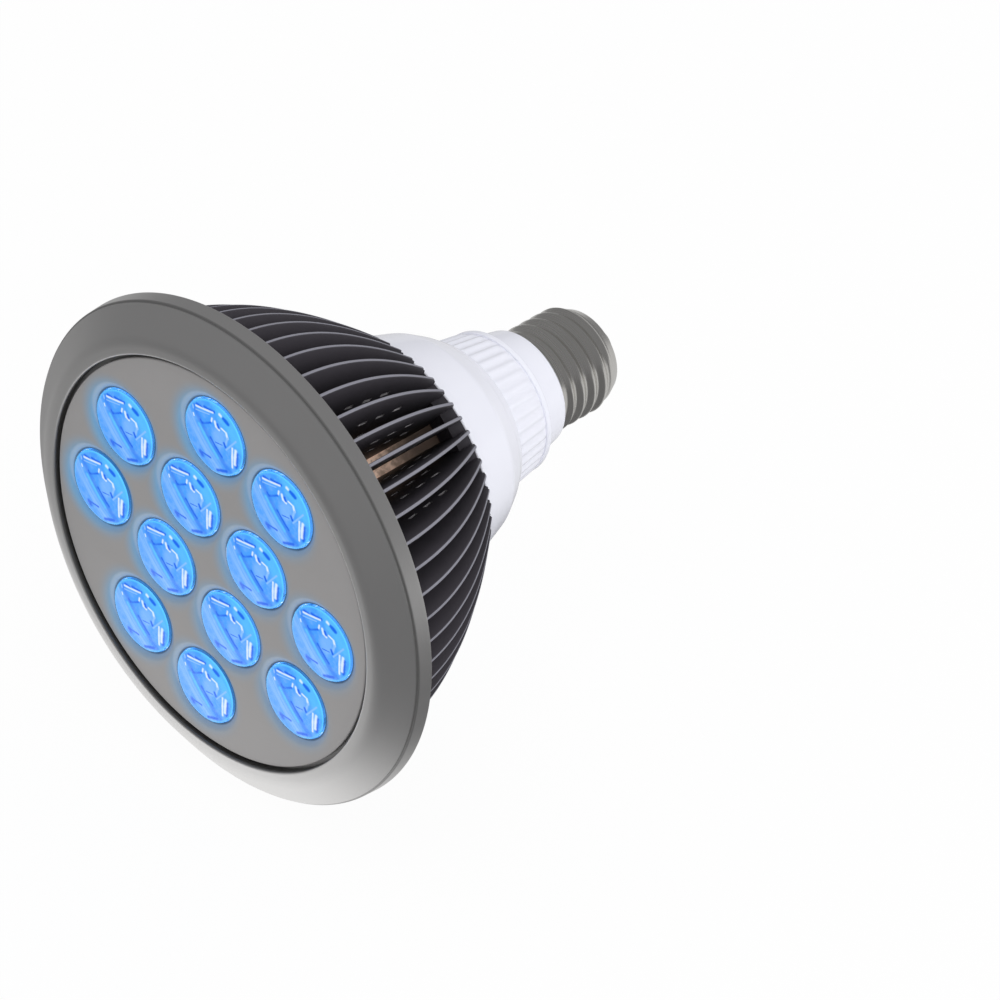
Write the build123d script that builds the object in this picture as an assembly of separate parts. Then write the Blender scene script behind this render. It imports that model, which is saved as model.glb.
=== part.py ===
from build123d import *
import os
from math import atan2, cos, degrees, dist, hypot, radians, sin

# Finned LED lamp on an E27 screw cap. The lamp's axis is Y: the lenses face -Y and the cap points to +Y.
# The origin is on the axis at the seat of the cap, and +Z is up. Sizes are in millimetres.
# A depth is a distance along the axis behind the bezel's front lip.

# Bezel ring: a little over 38 eighths of an inch across, with a sloped face, a step and a flared rim band
BEZEL_D = 123.2
BEZEL_DEPTH = 9.2
BEZEL_WIDTH = 11.1
BEZEL_WALL = 1.8
LIP_WIDTH = 3.3
LIP_ROUND = 0.6
CREST_ROUND = 5.0
FACE_DROP = 5.0
STEP_RISE = 0.7
STEP_DEPTH = 0.4
BAND_FLARE = 0.3
EDGE_BREAK = 0.3
LEDGE_WIDTH = 4.0
LEDGE_T = 1.5
SKIRT_WALL = 1.8
SKIRT_SETBACK = 0.5

# Face plate: set back behind the lip, with an open joint round it
PLATE_RECESS = 0.9
PLATE_T = 1.2
PLATE_GAP = 0.9
HOLE_DISH_W = 1.2
HOLE_DISH_DEPTH = 0.5

# Lenses: a square grid of 4 by 4 without its corners, turned about the axis
LENS_TURN = -23.6
LENS_SPACING = 1.9
LENS_EDGE_GAP = 0.6
LENS_RIM = 1.1
LENS_RIM_T = 1.0
LENS_CROWN = 0.7
LENS_LENGTH = 8.3
LENS_CLEARANCE = 0.2
LENS_FOOT_D = 8.4
LENS_POCKET_D = 6.0
LENS_POCKET_DEPTH = 3.0
LENS_BULGE = 0.8

# Light board, its diodes and its screws
BOARD_T = 1.6
BOARD_GAP = 0.8
WIRE_HOLE_D = 6.0
LED_SIZE = 3.5
LED_T = 1.0
LED_DOME_D = 2.6
BOARD_SCREW_D = 2.4
BOARD_SCREW_HEAD_D = 5.6
BOARD_SCREW_HEAD_T = 2.0
BOARD_SCREW_GRIP = 4.4
SCREW_HEAD_BREAK = 0.6

# Heat sink: base disc, tube, rear ring and sheet-metal fins
SPIGOT_H = 1.0
SPIGOT_CLEARANCE = 0.05
BASE_T = 4.0
TUBE_D = 48.0
TUBE_WALL = 2.0
RING_D = 58.8
RING_T = 4.0
SINK_LENGTH = 45.4
FIN_COUNT = 55
FIN_PHASE = 84.6
FIN_T = 0.9
FIN_RIM_GAP = 4.9
FIN_COVER = 0.2
FIN_REAR_OVERHANG = 1.6
FIN_REAR_SLOPE = 0.85
FIN_ROOT = 0.6
FIN_SKIRT_GAP = 0.6
NOTCH_L = 0.7
NOTCH_H = 0.6
SLOT_COUNT = 3
SLOT_ROWS = 2
SLOT_ROW_GAP = 5.0
SLOT_L = 2.4
SLOT_W = 0.8
SLOT_INSET = 12.0
SLOT_START = 13.0
SLOT_STEP = 7.7

# White housing: bell collar, ribbed neck, skirt, spigot for the cap and inner sleeve
COLLAR_FRONT_D = 59.6
COLLAR_BEND_D = 51.8
COLLAR_WAIST_D = 46.4
COLLAR_REAR_D = 41.6
COLLAR_L = 20.0
COLLAR_BEND_L = 12.2
SHOULDER_L = 3.2
SHOULDER_ROUND = 8.0
NECK_FRONT_D = 38.2
NECK_REAR_D = 34.8
NECK_L = 12.7
NECK_LIP_L = 1.4
RIB_COUNT = 40
RIB_W = 1.3
RIB_H = 0.5
HOUSING_WALL = 2.2
SKIRT_FRONT_D = 32.4
SKIRT_REAR_D = 29.0
CAP_SKIRT_L = 8.0
SPIGOT_L = 10.0
SPIGOT_WALL = 1.6
SLEEVE_CLEARANCE = 0.25
SLEEVE_WALL = 1.6
SLEEVE_L = 36.0
GROOVE_DEPTH = 0.7
HOUSING_SCREWS = 3
HOUSING_SCREW_D = 2.4
HOUSING_SCREW_HEAD_D = 4.2
HOUSING_SCREW_HEAD_T = 1.6
HOUSING_SCREW_GRIP = 3.4
HOUSING_SCREW_GAP = 0.3
SCREW_CLEARANCE = 0.05

# E27 screw cap: thread of seven turns to the inch
THREAD_D = 26.2
THREAD_DEPTH = 0.95
THREAD_PITCH = 3.629
THREAD_TURNS = 3.5
THREAD_START = 4.0
THREAD_ROOT_W = 3.0
THREAD_CREST_W = 1.0
SHELL_WALL = 0.7
SHELL_L = 18.4
SHELL_SHOULDER_L = 2.6
SHELL_MOUTH_D = 20.4
SHELL_CLEARANCE = 0.05
INSULATOR_LIP_T = 1.2
INSULATOR_L = 3.2
INSULATOR_END_D = 11.0
CONTACT_D = 9.6
CONTACT_H = 2.0
CONTACT_BREAK = 0.6
CONTACT_STEM_D = 3.2
CONTACT_STEM_L = 2.4

# Driver and leads inside the sleeve
DRIVER_T = 1.6
DRIVER_L = 46.0
DRIVER_SETBACK = 3.0
DRIVER_CLEARANCE = 0.15
TRANSFORMER_SIZE = (16.0, 15.0, 12.0)
TRANSFORMER_CORE_W = 8.0
TRANSFORMER_CORE_PROUD = 0.4
TRANSFORMER_PLACE = 20.0
CAPACITOR_D = 10.0
CAPACITOR_L = 16.0
CAPACITOR_PLACE = 36.0
CAPACITOR_SIDE = 8.0
RECTIFIER_SIZE = (6.0, 5.0, 2.6)
RECTIFIER_SIDE = -8.0
LEAD_D = 1.4
LEAD_SIDE = 1.2
LEAD_BEND = 1.4
LEAD_OVERLAP = 4.0
LEAD_PAD = 6.5
SHELL_LEAD_SIDE = 4.0
SHELL_LEAD_REACH = 3.0

# Radii and depths that follow from the sizes above
rim_r = BEZEL_D / 2
bore_r = rim_r - BEZEL_WIDTH
ledge_r = bore_r - LEDGE_WIDTH
skirt_r = bore_r - SKIRT_SETBACK
skirt_bore_r = skirt_r - SKIRT_WALL
band_bore_r = rim_r - BEZEL_WALL
plate_r = bore_r - PLATE_GAP
plate_back = PLATE_RECESS + PLATE_T

GRID_CELLS = [(i - 1.5, j - 1.5) for j in range(4) for i in range(4) if not (i in (0, 3) and j in (0, 3))]
OUTER_CELL = hypot(1.5, 0.5)
lens_pitch = (ledge_r - LENS_EDGE_GAP + LENS_SPACING / 2) / (OUTER_CELL + 0.5)
lens_rim_r = (lens_pitch - LENS_SPACING) / 2
lens_r = lens_rim_r - LENS_RIM
hole_r = lens_r + LENS_CLEARANCE

board_front = plate_back + LENS_LENGTH
board_back = board_front + BOARD_T
board_r = skirt_bore_r - BOARD_GAP
base_front = board_back + SPIGOT_H
base_back = base_front + BASE_T
tube_r = TUBE_D / 2
tube_bore_r = tube_r - TUBE_WALL
sink_end = base_front + SINK_LENGTH
ring_front = sink_end - RING_T
fin_front = BEZEL_DEPTH - FIN_COVER
fin_front_r = band_bore_r - FIN_RIM_GAP
fin_rear_r = RING_D / 2 + FIN_REAR_OVERHANG

collar_end = sink_end + COLLAR_L
neck_end = collar_end + NECK_L
seat = neck_end + CAP_SKIRT_L
FRONT = -seat
sleeve_r = tube_bore_r - SLEEVE_CLEARANCE
sleeve_bore_r = sleeve_r - SLEEVE_WALL
sleeve_front = sink_end - SLEEVE_L

thread_r = THREAD_D / 2
shell_r = thread_r - THREAD_DEPTH
shell_bore_r = shell_r - SHELL_WALL
spigot_r = shell_bore_r - SHELL_CLEARANCE
spigot_bore_r = spigot_r - SPIGOT_WALL
shell_end = seat + SHELL_L + SHELL_SHOULDER_L
mouth_r = SHELL_MOUTH_D / 2
insulator_end = shell_end + INSULATOR_L
stem_end = shell_end - INSULATOR_LIP_T - CONTACT_STEM_L

driver_front = sleeve_front + DRIVER_SETBACK
driver_back = driver_front + DRIVER_L
driver_half_w = sleeve_bore_r + GROOVE_DEPTH - DRIVER_CLEARANCE
lead_z = (DRIVER_T + LEAD_D) / 2


def towards(start, end, step):
    """The point that lies a step from the start on the way to the end."""
    share = step / dist(start, end)
    return (start[0] + share * (end[0] - start[0]), start[1] + share * (end[1] - start[1]))


def turned(corners, rounds=None, breaks=None):
    """A solid turned about the axis from (radius, depth) corners.

    rounds gives a radius and breaks the size of a small bevel, each by the number of its corner.
    """
    rounds = rounds or {}
    breaks = breaks or {}
    outline = []
    radii = []
    for number, corner in enumerate(corners):
        if number in breaks:
            following = corners[(number + 1) % len(corners)]
            outline += [towards(corner, corners[number - 1], breaks[number])]
            outline += [towards(corner, following, breaks[number])]
            radii += [0, 0]
        else:
            outline.append(corner)
            radii.append(rounds.get(number, 0))
    points = [(radius, FRONT + depth) for radius, depth in outline]
    return revolve(make_face(FilletPolyline(*points, radius=radii, close=True)), Axis.Y)


def rod(radius, start, end, x=0.0, z=0.0):
    """A round rod along the axis between two depths, at a place across the axis."""
    middle = Pos(x, FRONT + (start + end) / 2, z)
    return middle * Rot(90, 0, 0) * Cylinder(radius, end - start)


def block(width, start, end, height, x=0.0, z=0.0):
    """A box between two depths; z is the height of its underside."""
    return Pos(x, FRONT + (start + end) / 2, z + height / 2) * Box(width, end - start, height)


def about_axis(solid, angle):
    """The solid turned about the lamp's axis, from +X towards +Z."""
    return Rot(0, -angle, 0) * solid


def grid_places():
    """The places of the lenses across the axis, row by row."""
    turn = radians(LENS_TURN)
    places = []
    for column, row in GRID_CELLS:
        x = lens_pitch * (column * cos(turn) - row * sin(turn))
        z = lens_pitch * (column * sin(turn) + row * cos(turn))
        places.append((x, z))
    return places


def board_screw_places():
    """The board's screws stand in the four free squares between the lenses."""
    turn = radians(LENS_TURN)
    reach = hypot(lens_pitch, lens_pitch)
    return [(reach * cos(turn + radians(a)), reach * sin(turn + radians(a))) for a in (45, 135, 225, 315)]


def make_bezel_ring():
    """Ring with a lip, a sloped face and a rim band; its ledge carries the plate and its skirt seats it."""
    step_r = rim_r - STEP_RISE
    band_front = FACE_DROP + STEP_DEPTH
    corners = [
        (ledge_r, plate_back),
        (bore_r, plate_back),
        (bore_r, 0),
        (bore_r + LIP_WIDTH, 0),
        (step_r, FACE_DROP),
        (step_r, band_front),
        (rim_r - BAND_FLARE, band_front),
        (rim_r, BEZEL_DEPTH),
        (band_bore_r, BEZEL_DEPTH),
        (band_bore_r - BAND_FLARE, band_front + BEZEL_WALL),
        (skirt_r, plate_back + LEDGE_T),
        (skirt_r, base_front),
        (skirt_bore_r, base_front),
        (skirt_bore_r, plate_back + LEDGE_T),
        (ledge_r, plate_back + LEDGE_T),
    ]
    return turned(corners, {2: LIP_ROUND, 3: CREST_ROUND}, {7: EDGE_BREAK})


def make_face_plate():
    """Round plate with a dished hole for each lens."""
    corners = [(0, PLATE_RECESS), (plate_r, PLATE_RECESS), (plate_r, plate_back), (0, plate_back)]
    plate = turned(corners, breaks={1: EDGE_BREAK})
    hole = turned([
        (0, 0),
        (hole_r + HOLE_DISH_W, 0),
        (hole_r + HOLE_DISH_W, PLATE_RECESS),
        (hole_r, PLATE_RECESS + HOLE_DISH_DEPTH),
        (hole_r, plate_back + PLATE_T),
        (0, plate_back + PLATE_T),
    ])
    return plate - [Pos(x, 0, z) * hole for x, z in grid_places()]


def make_lens():
    """Moulded lens: crowned face, rim behind the plate, curved reflecting side and a pocket for the diode."""
    y_face = FRONT + PLATE_RECESS
    y_rim = FRONT + plate_back
    y_rim_back = y_rim + LENS_RIM_T
    y_foot = FRONT + board_front
    foot_r = LENS_FOOT_D / 2
    pocket_r = LENS_POCKET_D / 2
    side_mid = ((lens_r + foot_r) / 2 + LENS_BULGE, (y_rim_back + y_foot) / 2)
    outline = TangentArc((0, y_face - LENS_CROWN), (lens_r, y_face), tangent=(1, 0))
    outline += Polyline((lens_r, y_face), (lens_r, y_rim), (lens_rim_r, y_rim), (lens_rim_r, y_rim_back))
    outline += Line((lens_rim_r, y_rim_back), (lens_r, y_rim_back))
    outline += ThreePointArc((lens_r, y_rim_back), side_mid, (foot_r, y_foot))
    outline += Polyline((foot_r, y_foot), (pocket_r, y_foot), (pocket_r, y_foot - LENS_POCKET_DEPTH))
    outline += Line((pocket_r, y_foot - LENS_POCKET_DEPTH), (0, y_foot - LENS_POCKET_DEPTH))
    outline += Line((0, y_foot - LENS_POCKET_DEPTH), (0, y_face - LENS_CROWN))
    return revolve(make_face(outline), Axis.Y)


def make_led():
    """Diode: square body with a round dome that faces the lens."""
    body_front = board_front - LED_T
    body = block(LED_SIZE, body_front, board_front, LED_SIZE, z=-LED_SIZE / 2)
    dome = Pos(0, FRONT + body_front, 0) * Rot(90, 0, 0) * Sphere(LED_DOME_D / 2, arc_size1=0)
    return Rot(0, -LENS_TURN, 0) * (body + dome)


def make_led_board():
    """Metal-core board with a hole for the leads and holes for its screws."""
    board = rod(board_r, board_front, board_back)
    hole_front = board_front - BOARD_T
    hole_back = board_back + BOARD_T
    board -= rod(WIRE_HOLE_D / 2, hole_front, hole_back)
    hole_radius = BOARD_SCREW_D / 2 + SCREW_CLEARANCE
    board -= [rod(hole_radius, hole_front, hole_back, x, z) for x, z in board_screw_places()]
    return board


def make_board_screws():
    """Four pan-head screws that clamp the board to the base disc."""
    screws = []
    for x, z in board_screw_places():
        head = rod(BOARD_SCREW_HEAD_D / 2, board_front - BOARD_SCREW_HEAD_T, board_front, x, z)
        head = chamfer(head.edges().group_by(Axis.Y)[0], SCREW_HEAD_BREAK)
        shank = rod(BOARD_SCREW_D / 2, board_front, board_back + BOARD_SCREW_GRIP, x, z)
        screws.append(head + shank)
    return Compound(children=screws)


def fin_outline():
    """Side view of one fin, with its bowed outer edge, rear notch and rows of punched slots."""
    y_front = FRONT + fin_front
    y_end = FRONT + sink_end
    length = y_end - y_front
    root_r = tube_r - FIN_ROOT
    step_r = skirt_r + FIN_SKIRT_GAP
    y_base = FRONT + base_front + FIN_SKIRT_GAP
    y_root = FRONT + base_back - FIN_ROOT
    base_r = skirt_r - FIN_ROOT
    handle = (fin_rear_r + FIN_REAR_SLOPE * length / 3, y_end - length / 3)
    outline = Bezier((fin_front_r, y_front), (fin_front_r, y_front + length / 3), handle, (fin_rear_r, y_end))
    outline += Polyline((fin_rear_r, y_end), (root_r, y_end), (root_r, y_root), (base_r, y_root))
    outline += Polyline((base_r, y_root), (base_r, y_base), (step_r, y_base), (step_r, y_front))
    outline += Line((step_r, y_front), (fin_front_r, y_front))
    fin = make_face(outline)
    fin -= Pos(fin_rear_r, y_end) * Rectangle(2 * NOTCH_H, 2 * NOTCH_L)
    lean = degrees(atan2(fin_front_r - fin_rear_r, length))
    slot = Rot(0, 0, lean) * Rectangle(SLOT_W, SLOT_L)
    for row in range(SLOT_ROWS):
        for number in range(SLOT_COUNT):
            along = SLOT_START + (number + row / SLOT_ROWS) * SLOT_STEP
            inset = SLOT_INSET + row * SLOT_ROW_GAP
            x = fin_front_r - inset - along * (fin_front_r - fin_rear_r) / length
            fin -= Pos(x, y_front + along) * slot
    return fin


def make_heat_sink():
    """Base disc with the bezel's spigot, tube, rear ring and a ring of thin fins."""
    spigot_top_r = skirt_bore_r - SPIGOT_CLEARANCE
    wire_r = WIRE_HOLE_D / 2
    corners = [
        (wire_r, board_back),
        (spigot_top_r, board_back),
        (spigot_top_r, base_front),
        (skirt_r, base_front),
        (skirt_r, base_back),
        (tube_r, base_back),
        (tube_r, ring_front),
        (RING_D / 2, ring_front),
        (RING_D / 2, sink_end),
        (tube_bore_r, sink_end),
        (tube_bore_r, base_back),
        (wire_r, base_back),
    ]
    sink = turned(corners)
    fin = extrude(fin_outline(), FIN_T / 2, both=True)
    sink += [about_axis(fin, FIN_PHASE + number * 360 / FIN_COUNT) for number in range(FIN_COUNT)]
    board_hole_r = BOARD_SCREW_D / 2 + SCREW_CLEARANCE
    hole_end = board_back + BOARD_SCREW_GRIP + SCREW_CLEARANCE
    sink -= [rod(board_hole_r, board_back, hole_end, x, z) for x, z in board_screw_places()]
    housing_hole_r = HOUSING_SCREW_D / 2 + SCREW_CLEARANCE
    hole_front = sink_end - HOUSING_SCREW_GRIP - SCREW_CLEARANCE
    sink -= [rod(housing_hole_r, hole_front, sink_end, x, z) for x, z in housing_screw_places()]
    return sink


def housing_screw_places():
    """The housing's screws stand on one circle, midway between the sleeve and the collar's wall."""
    reach = (sleeve_r + COLLAR_FRONT_D / 2 - HOUSING_WALL) / 2
    angles = [radians(90 + number * 360 / HOUSING_SCREWS) for number in range(HOUSING_SCREWS)]
    return [(reach * cos(angle), reach * sin(angle)) for angle in angles]


def make_neck_housing():
    """One white moulding: sleeve, bell collar with a round shoulder, ribbed neck, skirt and cap spigot."""
    wall_back = sink_end + HOUSING_WALL
    bend = sink_end + COLLAR_BEND_L
    bend_r = COLLAR_BEND_D / 2
    waist = collar_end - SHOULDER_L
    waist_r = COLLAR_WAIST_D / 2
    collar_r = COLLAR_FRONT_D / 2
    neck_front_r = NECK_FRONT_D / 2
    neck_rear_r = NECK_REAR_D / 2
    corners = [
        (sleeve_bore_r, sleeve_front),
        (sleeve_r, sleeve_front),
        (sleeve_r, sink_end),
        (collar_r, sink_end),
        (bend_r, bend),
        (waist_r, waist),
        (COLLAR_REAR_D / 2, collar_end),
        (neck_front_r, collar_end),
        (neck_rear_r, neck_end),
        (SKIRT_FRONT_D / 2, neck_end),
        (SKIRT_REAR_D / 2, seat),
        (spigot_r, seat),
        (spigot_r, seat + SPIGOT_L),
        (spigot_bore_r, seat + SPIGOT_L),
        (spigot_bore_r, neck_end),
        (neck_rear_r - HOUSING_WALL, neck_end - HOUSING_WALL),
        (neck_front_r - HOUSING_WALL, collar_end - HOUSING_WALL),
        (waist_r - HOUSING_WALL, waist - HOUSING_WALL),
        (bend_r - HOUSING_WALL, bend - HOUSING_WALL),
        (collar_r - HOUSING_WALL, wall_back),
        (sleeve_bore_r, wall_back),
    ]
    rounds = {4: SHOULDER_ROUND, 5: SHOULDER_ROUND}
    housing = turned(corners, rounds, {3: EDGE_BREAK, 6: EDGE_BREAK})
    lip_front = neck_end - NECK_LIP_L
    lip_r = neck_rear_r + RIB_H
    lip_root_r = neck_rear_r - RIB_H
    lip = [(lip_root_r, lip_front), (lip_r, lip_front), (lip_r, neck_end), (lip_root_r, neck_end)]
    housing += turned(lip, breaks={1: EDGE_BREAK, 2: EDGE_BREAK})
    rib_corners = [
        (neck_front_r - RIB_H, FRONT + collar_end),
        (neck_front_r + RIB_H, FRONT + collar_end),
        (neck_rear_r + RIB_H, FRONT + neck_end),
        (neck_rear_r - RIB_H, FRONT + neck_end),
    ]
    rib = extrude(make_face(Polyline(*rib_corners, close=True)), RIB_W / 2, both=True)
    housing += [about_axis(rib, number * 360 / RIB_COUNT) for number in range(RIB_COUNT)]
    groove = block(
        2 * (sleeve_bore_r + GROOVE_DEPTH), sleeve_front, driver_back, DRIVER_T + 2 * DRIVER_CLEARANCE,
        z=-DRIVER_T / 2 - DRIVER_CLEARANCE)
    housing -= groove
    shank_hole_r = HOUSING_SCREW_D / 2 + SCREW_CLEARANCE
    housing -= [rod(shank_hole_r, sink_end, wall_back, x, z) for x, z in housing_screw_places()]
    pocket_r = HOUSING_SCREW_HEAD_D / 2 + HOUSING_SCREW_GAP
    pocket_back = wall_back + HOUSING_SCREW_HEAD_T + HOUSING_SCREW_GAP
    housing -= [rod(pocket_r, wall_back, pocket_back, x, z) for x, z in housing_screw_places()]
    return housing


def make_housing_screws():
    """Screws through the collar's front wall into the rear ring."""
    wall_back = sink_end + HOUSING_WALL
    screws = []
    for x, z in housing_screw_places():
        head = rod(HOUSING_SCREW_HEAD_D / 2, wall_back, wall_back + HOUSING_SCREW_HEAD_T, x, z)
        shank = rod(HOUSING_SCREW_D / 2, sink_end - HOUSING_SCREW_GRIP, wall_back, x, z)
        screws.append(head + shank)
    return Compound(children=screws)


def make_screw_shell():
    """Thin shell with a plain rim, a thread and a shoulder that closes towards the insulator."""
    corners = [
        (shell_bore_r, seat),
        (shell_r, seat),
        (shell_r, seat + SHELL_L),
        (mouth_r + SHELL_WALL, shell_end),
        (mouth_r, shell_end),
        (mouth_r, shell_end - SHELL_WALL),
        (shell_bore_r, seat + SHELL_L - SHELL_WALL),
    ]
    shell = turned(corners)
    helix = Helix(THREAD_PITCH, THREAD_PITCH * THREAD_TURNS, shell_r)
    root_x = -SHELL_WALL / 2
    root_y = THREAD_ROOT_W / 2
    crest_y = THREAD_CREST_W / 2
    ridge = Polyline(
        (root_x, -root_y), (THREAD_DEPTH, -crest_y), (THREAD_DEPTH, crest_y), (root_x, root_y), close=True)
    section = Plane(origin=helix @ 0, x_dir=(1, 0, 0), z_dir=helix % 0) * make_face(ridge)
    thread = sweep(section, path=helix, is_frenet=True)
    return shell + Pos(0, FRONT + seat + THREAD_START, 0) * Rot(-90, 0, 0) * thread


def make_cap_insulator():
    """Black insulator: a lip inside the shell's mouth and a cone that carries the contact."""
    stem_hole_r = CONTACT_STEM_D / 2 + SHELL_CLEARANCE
    plug_r = mouth_r - SHELL_CLEARANCE
    corners = [
        (stem_hole_r, shell_end - INSULATOR_LIP_T),
        (plug_r, shell_end - INSULATOR_LIP_T),
        (plug_r, shell_end),
        (INSULATOR_END_D / 2, insulator_end),
        (stem_hole_r, insulator_end),
    ]
    return turned(corners, breaks={3: EDGE_BREAK})


def make_centre_contact():
    """End contact: a round button with a stem through the insulator."""
    stem_r = CONTACT_STEM_D / 2
    button_r = CONTACT_D / 2
    corners = [
        (0, stem_end),
        (stem_r, stem_end),
        (stem_r, insulator_end),
        (button_r, insulator_end),
        (button_r, insulator_end + CONTACT_H),
        (0, insulator_end + CONTACT_H),
    ]
    return turned(corners, breaks={4: CONTACT_BREAK})


def make_driver_board():
    """Circuit board that slides into the sleeve's two grooves."""
    return block(2 * driver_half_w, driver_front, driver_back, DRIVER_T, z=-DRIVER_T / 2)


def make_transformer():
    """Transformer: a bobbin block with a core band round it, on the board's upper face."""
    width, length, height = TRANSFORMER_SIZE
    start = driver_front + TRANSFORMER_PLACE - length / 2
    middle = driver_front + TRANSFORMER_PLACE
    coil = block(width, start, start + length, height, z=DRIVER_T / 2)
    coil = chamfer(coil.edges().filter_by(Axis.Z), EDGE_BREAK)
    core_width = width + 2 * TRANSFORMER_CORE_PROUD
    core_height = height + TRANSFORMER_CORE_PROUD
    core_front = middle - TRANSFORMER_CORE_W / 2
    core = block(core_width, core_front, core_front + TRANSFORMER_CORE_W, core_height, z=DRIVER_T / 2)
    return coil + core


def make_filter_capacitor():
    """Electrolytic capacitor lying along the board."""
    start = driver_front + CAPACITOR_PLACE - CAPACITOR_L / 2
    z = (DRIVER_T + CAPACITOR_D) / 2
    can = rod(CAPACITOR_D / 2, start, start + CAPACITOR_L, CAPACITOR_SIDE, z)
    return chamfer(can.edges().filter_by(GeomType.CIRCLE), EDGE_BREAK)


def make_rectifier():
    """Flat rectifier package beside the capacitor."""
    width, length, height = RECTIFIER_SIZE
    start = driver_front + CAPACITOR_PLACE - length / 2
    return block(width, start, start + length, height, RECTIFIER_SIDE, DRIVER_T / 2)


def swept_lead(points):
    """A round lead along straight runs with one bend between them."""
    path = FilletPolyline(*points, radius=LEAD_BEND)
    section = Plane(origin=path @ 0, z_dir=path % 0) * Circle(LEAD_D / 2)
    return sweep(section, path=path)


def make_led_lead(side):
    """Lead from the driver through the base's hole to its pad on the light board."""
    y_pad = FRONT + board_front - LEAD_D / 2
    y_driver = FRONT + driver_front + LEAD_OVERLAP
    x = side * LEAD_SIDE
    return swept_lead([(x, y_driver, lead_z), (x, y_pad, lead_z), (side * LEAD_PAD, y_pad, lead_z)])


def make_cap_lead_shell():
    """Lead from the driver through the spigot to the inside of the screw shell."""
    y_driver = FRONT + driver_back - LEAD_OVERLAP
    y_shell = FRONT + seat + SPIGOT_L + SHELL_LEAD_REACH
    x_shell = -(shell_bore_r**2 - (lead_z + LEAD_D / 2) ** 2) ** 0.5
    x = -SHELL_LEAD_SIDE
    return swept_lead([(x, y_driver, lead_z), (x, y_shell, lead_z), (x_shell, y_shell, lead_z)])


def make_cap_lead_contact():
    """Straight lead from the driver to the stem of the end contact."""
    return rod(LEAD_D / 2, driver_back - LEAD_OVERLAP, stem_end, z=lead_z)


def build():
    """Every piece of the lamp by its name."""
    pieces = {
        "bezel_ring": make_bezel_ring(),
        "face_plate": make_face_plate(),
        "led_board": make_led_board(),
        "board_screws": make_board_screws(),
        "heat_sink": make_heat_sink(),
        "neck_housing": make_neck_housing(),
        "housing_screws": make_housing_screws(),
        "screw_shell": make_screw_shell(),
        "cap_insulator": make_cap_insulator(),
        "centre_contact": make_centre_contact(),
        "driver_board": make_driver_board(),
        "transformer": make_transformer(),
        "filter_capacitor": make_filter_capacitor(),
        "rectifier": make_rectifier(),
        "led_lead_positive": make_led_lead(1),
        "led_lead_negative": make_led_lead(-1),
        "cap_lead_shell": make_cap_lead_shell(),
        "cap_lead_contact": make_cap_lead_contact(),
    }
    lens = make_lens()
    led = make_led()
    for number, (x, z) in enumerate(grid_places(), start=1):
        pieces[f"lens_{number:02d}"] = Pos(x, 0, z) * lens
        pieces[f"led_{number:02d}"] = Pos(x, 0, z) * led
    return pieces


os.makedirs("parts", exist_ok=True)
for name, piece in build().items():
    export_step(piece, f"parts/{name}.step")
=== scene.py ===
import math

import bmesh
import bpy
import numpy as np
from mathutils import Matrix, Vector
from mathutils.geometry import tessellate_polygon


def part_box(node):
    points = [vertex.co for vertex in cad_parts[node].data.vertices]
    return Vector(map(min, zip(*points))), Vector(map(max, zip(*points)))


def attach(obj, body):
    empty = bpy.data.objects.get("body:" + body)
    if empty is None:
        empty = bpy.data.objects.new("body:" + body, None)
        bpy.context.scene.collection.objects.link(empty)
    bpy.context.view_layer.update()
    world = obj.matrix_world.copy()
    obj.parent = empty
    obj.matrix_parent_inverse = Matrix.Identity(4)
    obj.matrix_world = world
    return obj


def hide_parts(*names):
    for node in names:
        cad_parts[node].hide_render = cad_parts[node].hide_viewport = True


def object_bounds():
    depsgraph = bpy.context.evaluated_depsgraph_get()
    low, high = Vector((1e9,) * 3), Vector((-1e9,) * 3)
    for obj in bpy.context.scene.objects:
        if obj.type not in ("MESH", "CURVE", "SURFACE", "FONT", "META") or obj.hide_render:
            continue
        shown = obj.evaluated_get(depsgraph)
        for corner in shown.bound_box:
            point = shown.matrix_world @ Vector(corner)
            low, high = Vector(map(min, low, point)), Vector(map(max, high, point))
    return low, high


bl_info = {
    "name": "Light therapy bulb",
    "version": (1, 0, 0),
    "blender": (4, 5, 0),
    "location": "View3D > Sidebar > Bulb",
    "description": "Dresses a finned therapy bulb: bezel, plate, lenses, fins, housing and screw cap",
    "category": "Object",
}

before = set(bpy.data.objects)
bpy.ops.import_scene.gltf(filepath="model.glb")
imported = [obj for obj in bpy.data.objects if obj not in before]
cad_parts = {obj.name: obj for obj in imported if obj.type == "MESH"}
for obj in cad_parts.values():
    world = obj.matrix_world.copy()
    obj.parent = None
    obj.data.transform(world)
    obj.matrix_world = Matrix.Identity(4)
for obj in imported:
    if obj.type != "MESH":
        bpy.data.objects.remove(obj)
CAD_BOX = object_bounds()

MM = 0.001
BODY = "root"


def ends(node):
    """Front and rear end of a node along the bulb's axis, which is Y."""
    low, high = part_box(node)
    return low.y, high.y


def half_width(node):
    """Half of a node's width across the axis: the radius of a turned piece."""
    low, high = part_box(node)
    return (high.x - low.x) / 2


def middle(node):
    """Place of a node's middle across the axis, as (x, z)."""
    low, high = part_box(node)
    return (low.x + high.x) / 2, (low.z + high.z) / 2


LENS_NODES = sorted(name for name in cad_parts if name.startswith("lens_"))
DIODE_NODES = sorted(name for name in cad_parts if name.startswith("led_") and name[4:].isdigit())
LENS_PLACES = np.array([middle(name) for name in LENS_NODES])

LIP, SKIRT_END = ends("bezel_ring")
PLATE_FRONT, PLATE_BACK = ends("face_plate")
LENS_TIP, LENS_FOOT = ends(LENS_NODES[0])
FIN_FRONT, SINK_END = ends("heat_sink")
SLEEVE_FRONT, SPIGOT_END = ends("neck_housing")
SEAT, SHELL_END = ends("screw_shell")
PLUG_FRONT, PLUG_END = ends("cap_insulator")
STEM_END, CONTACT_END = ends("centre_contact")
BOARD_BACK = ends("led_board")[1]

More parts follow.
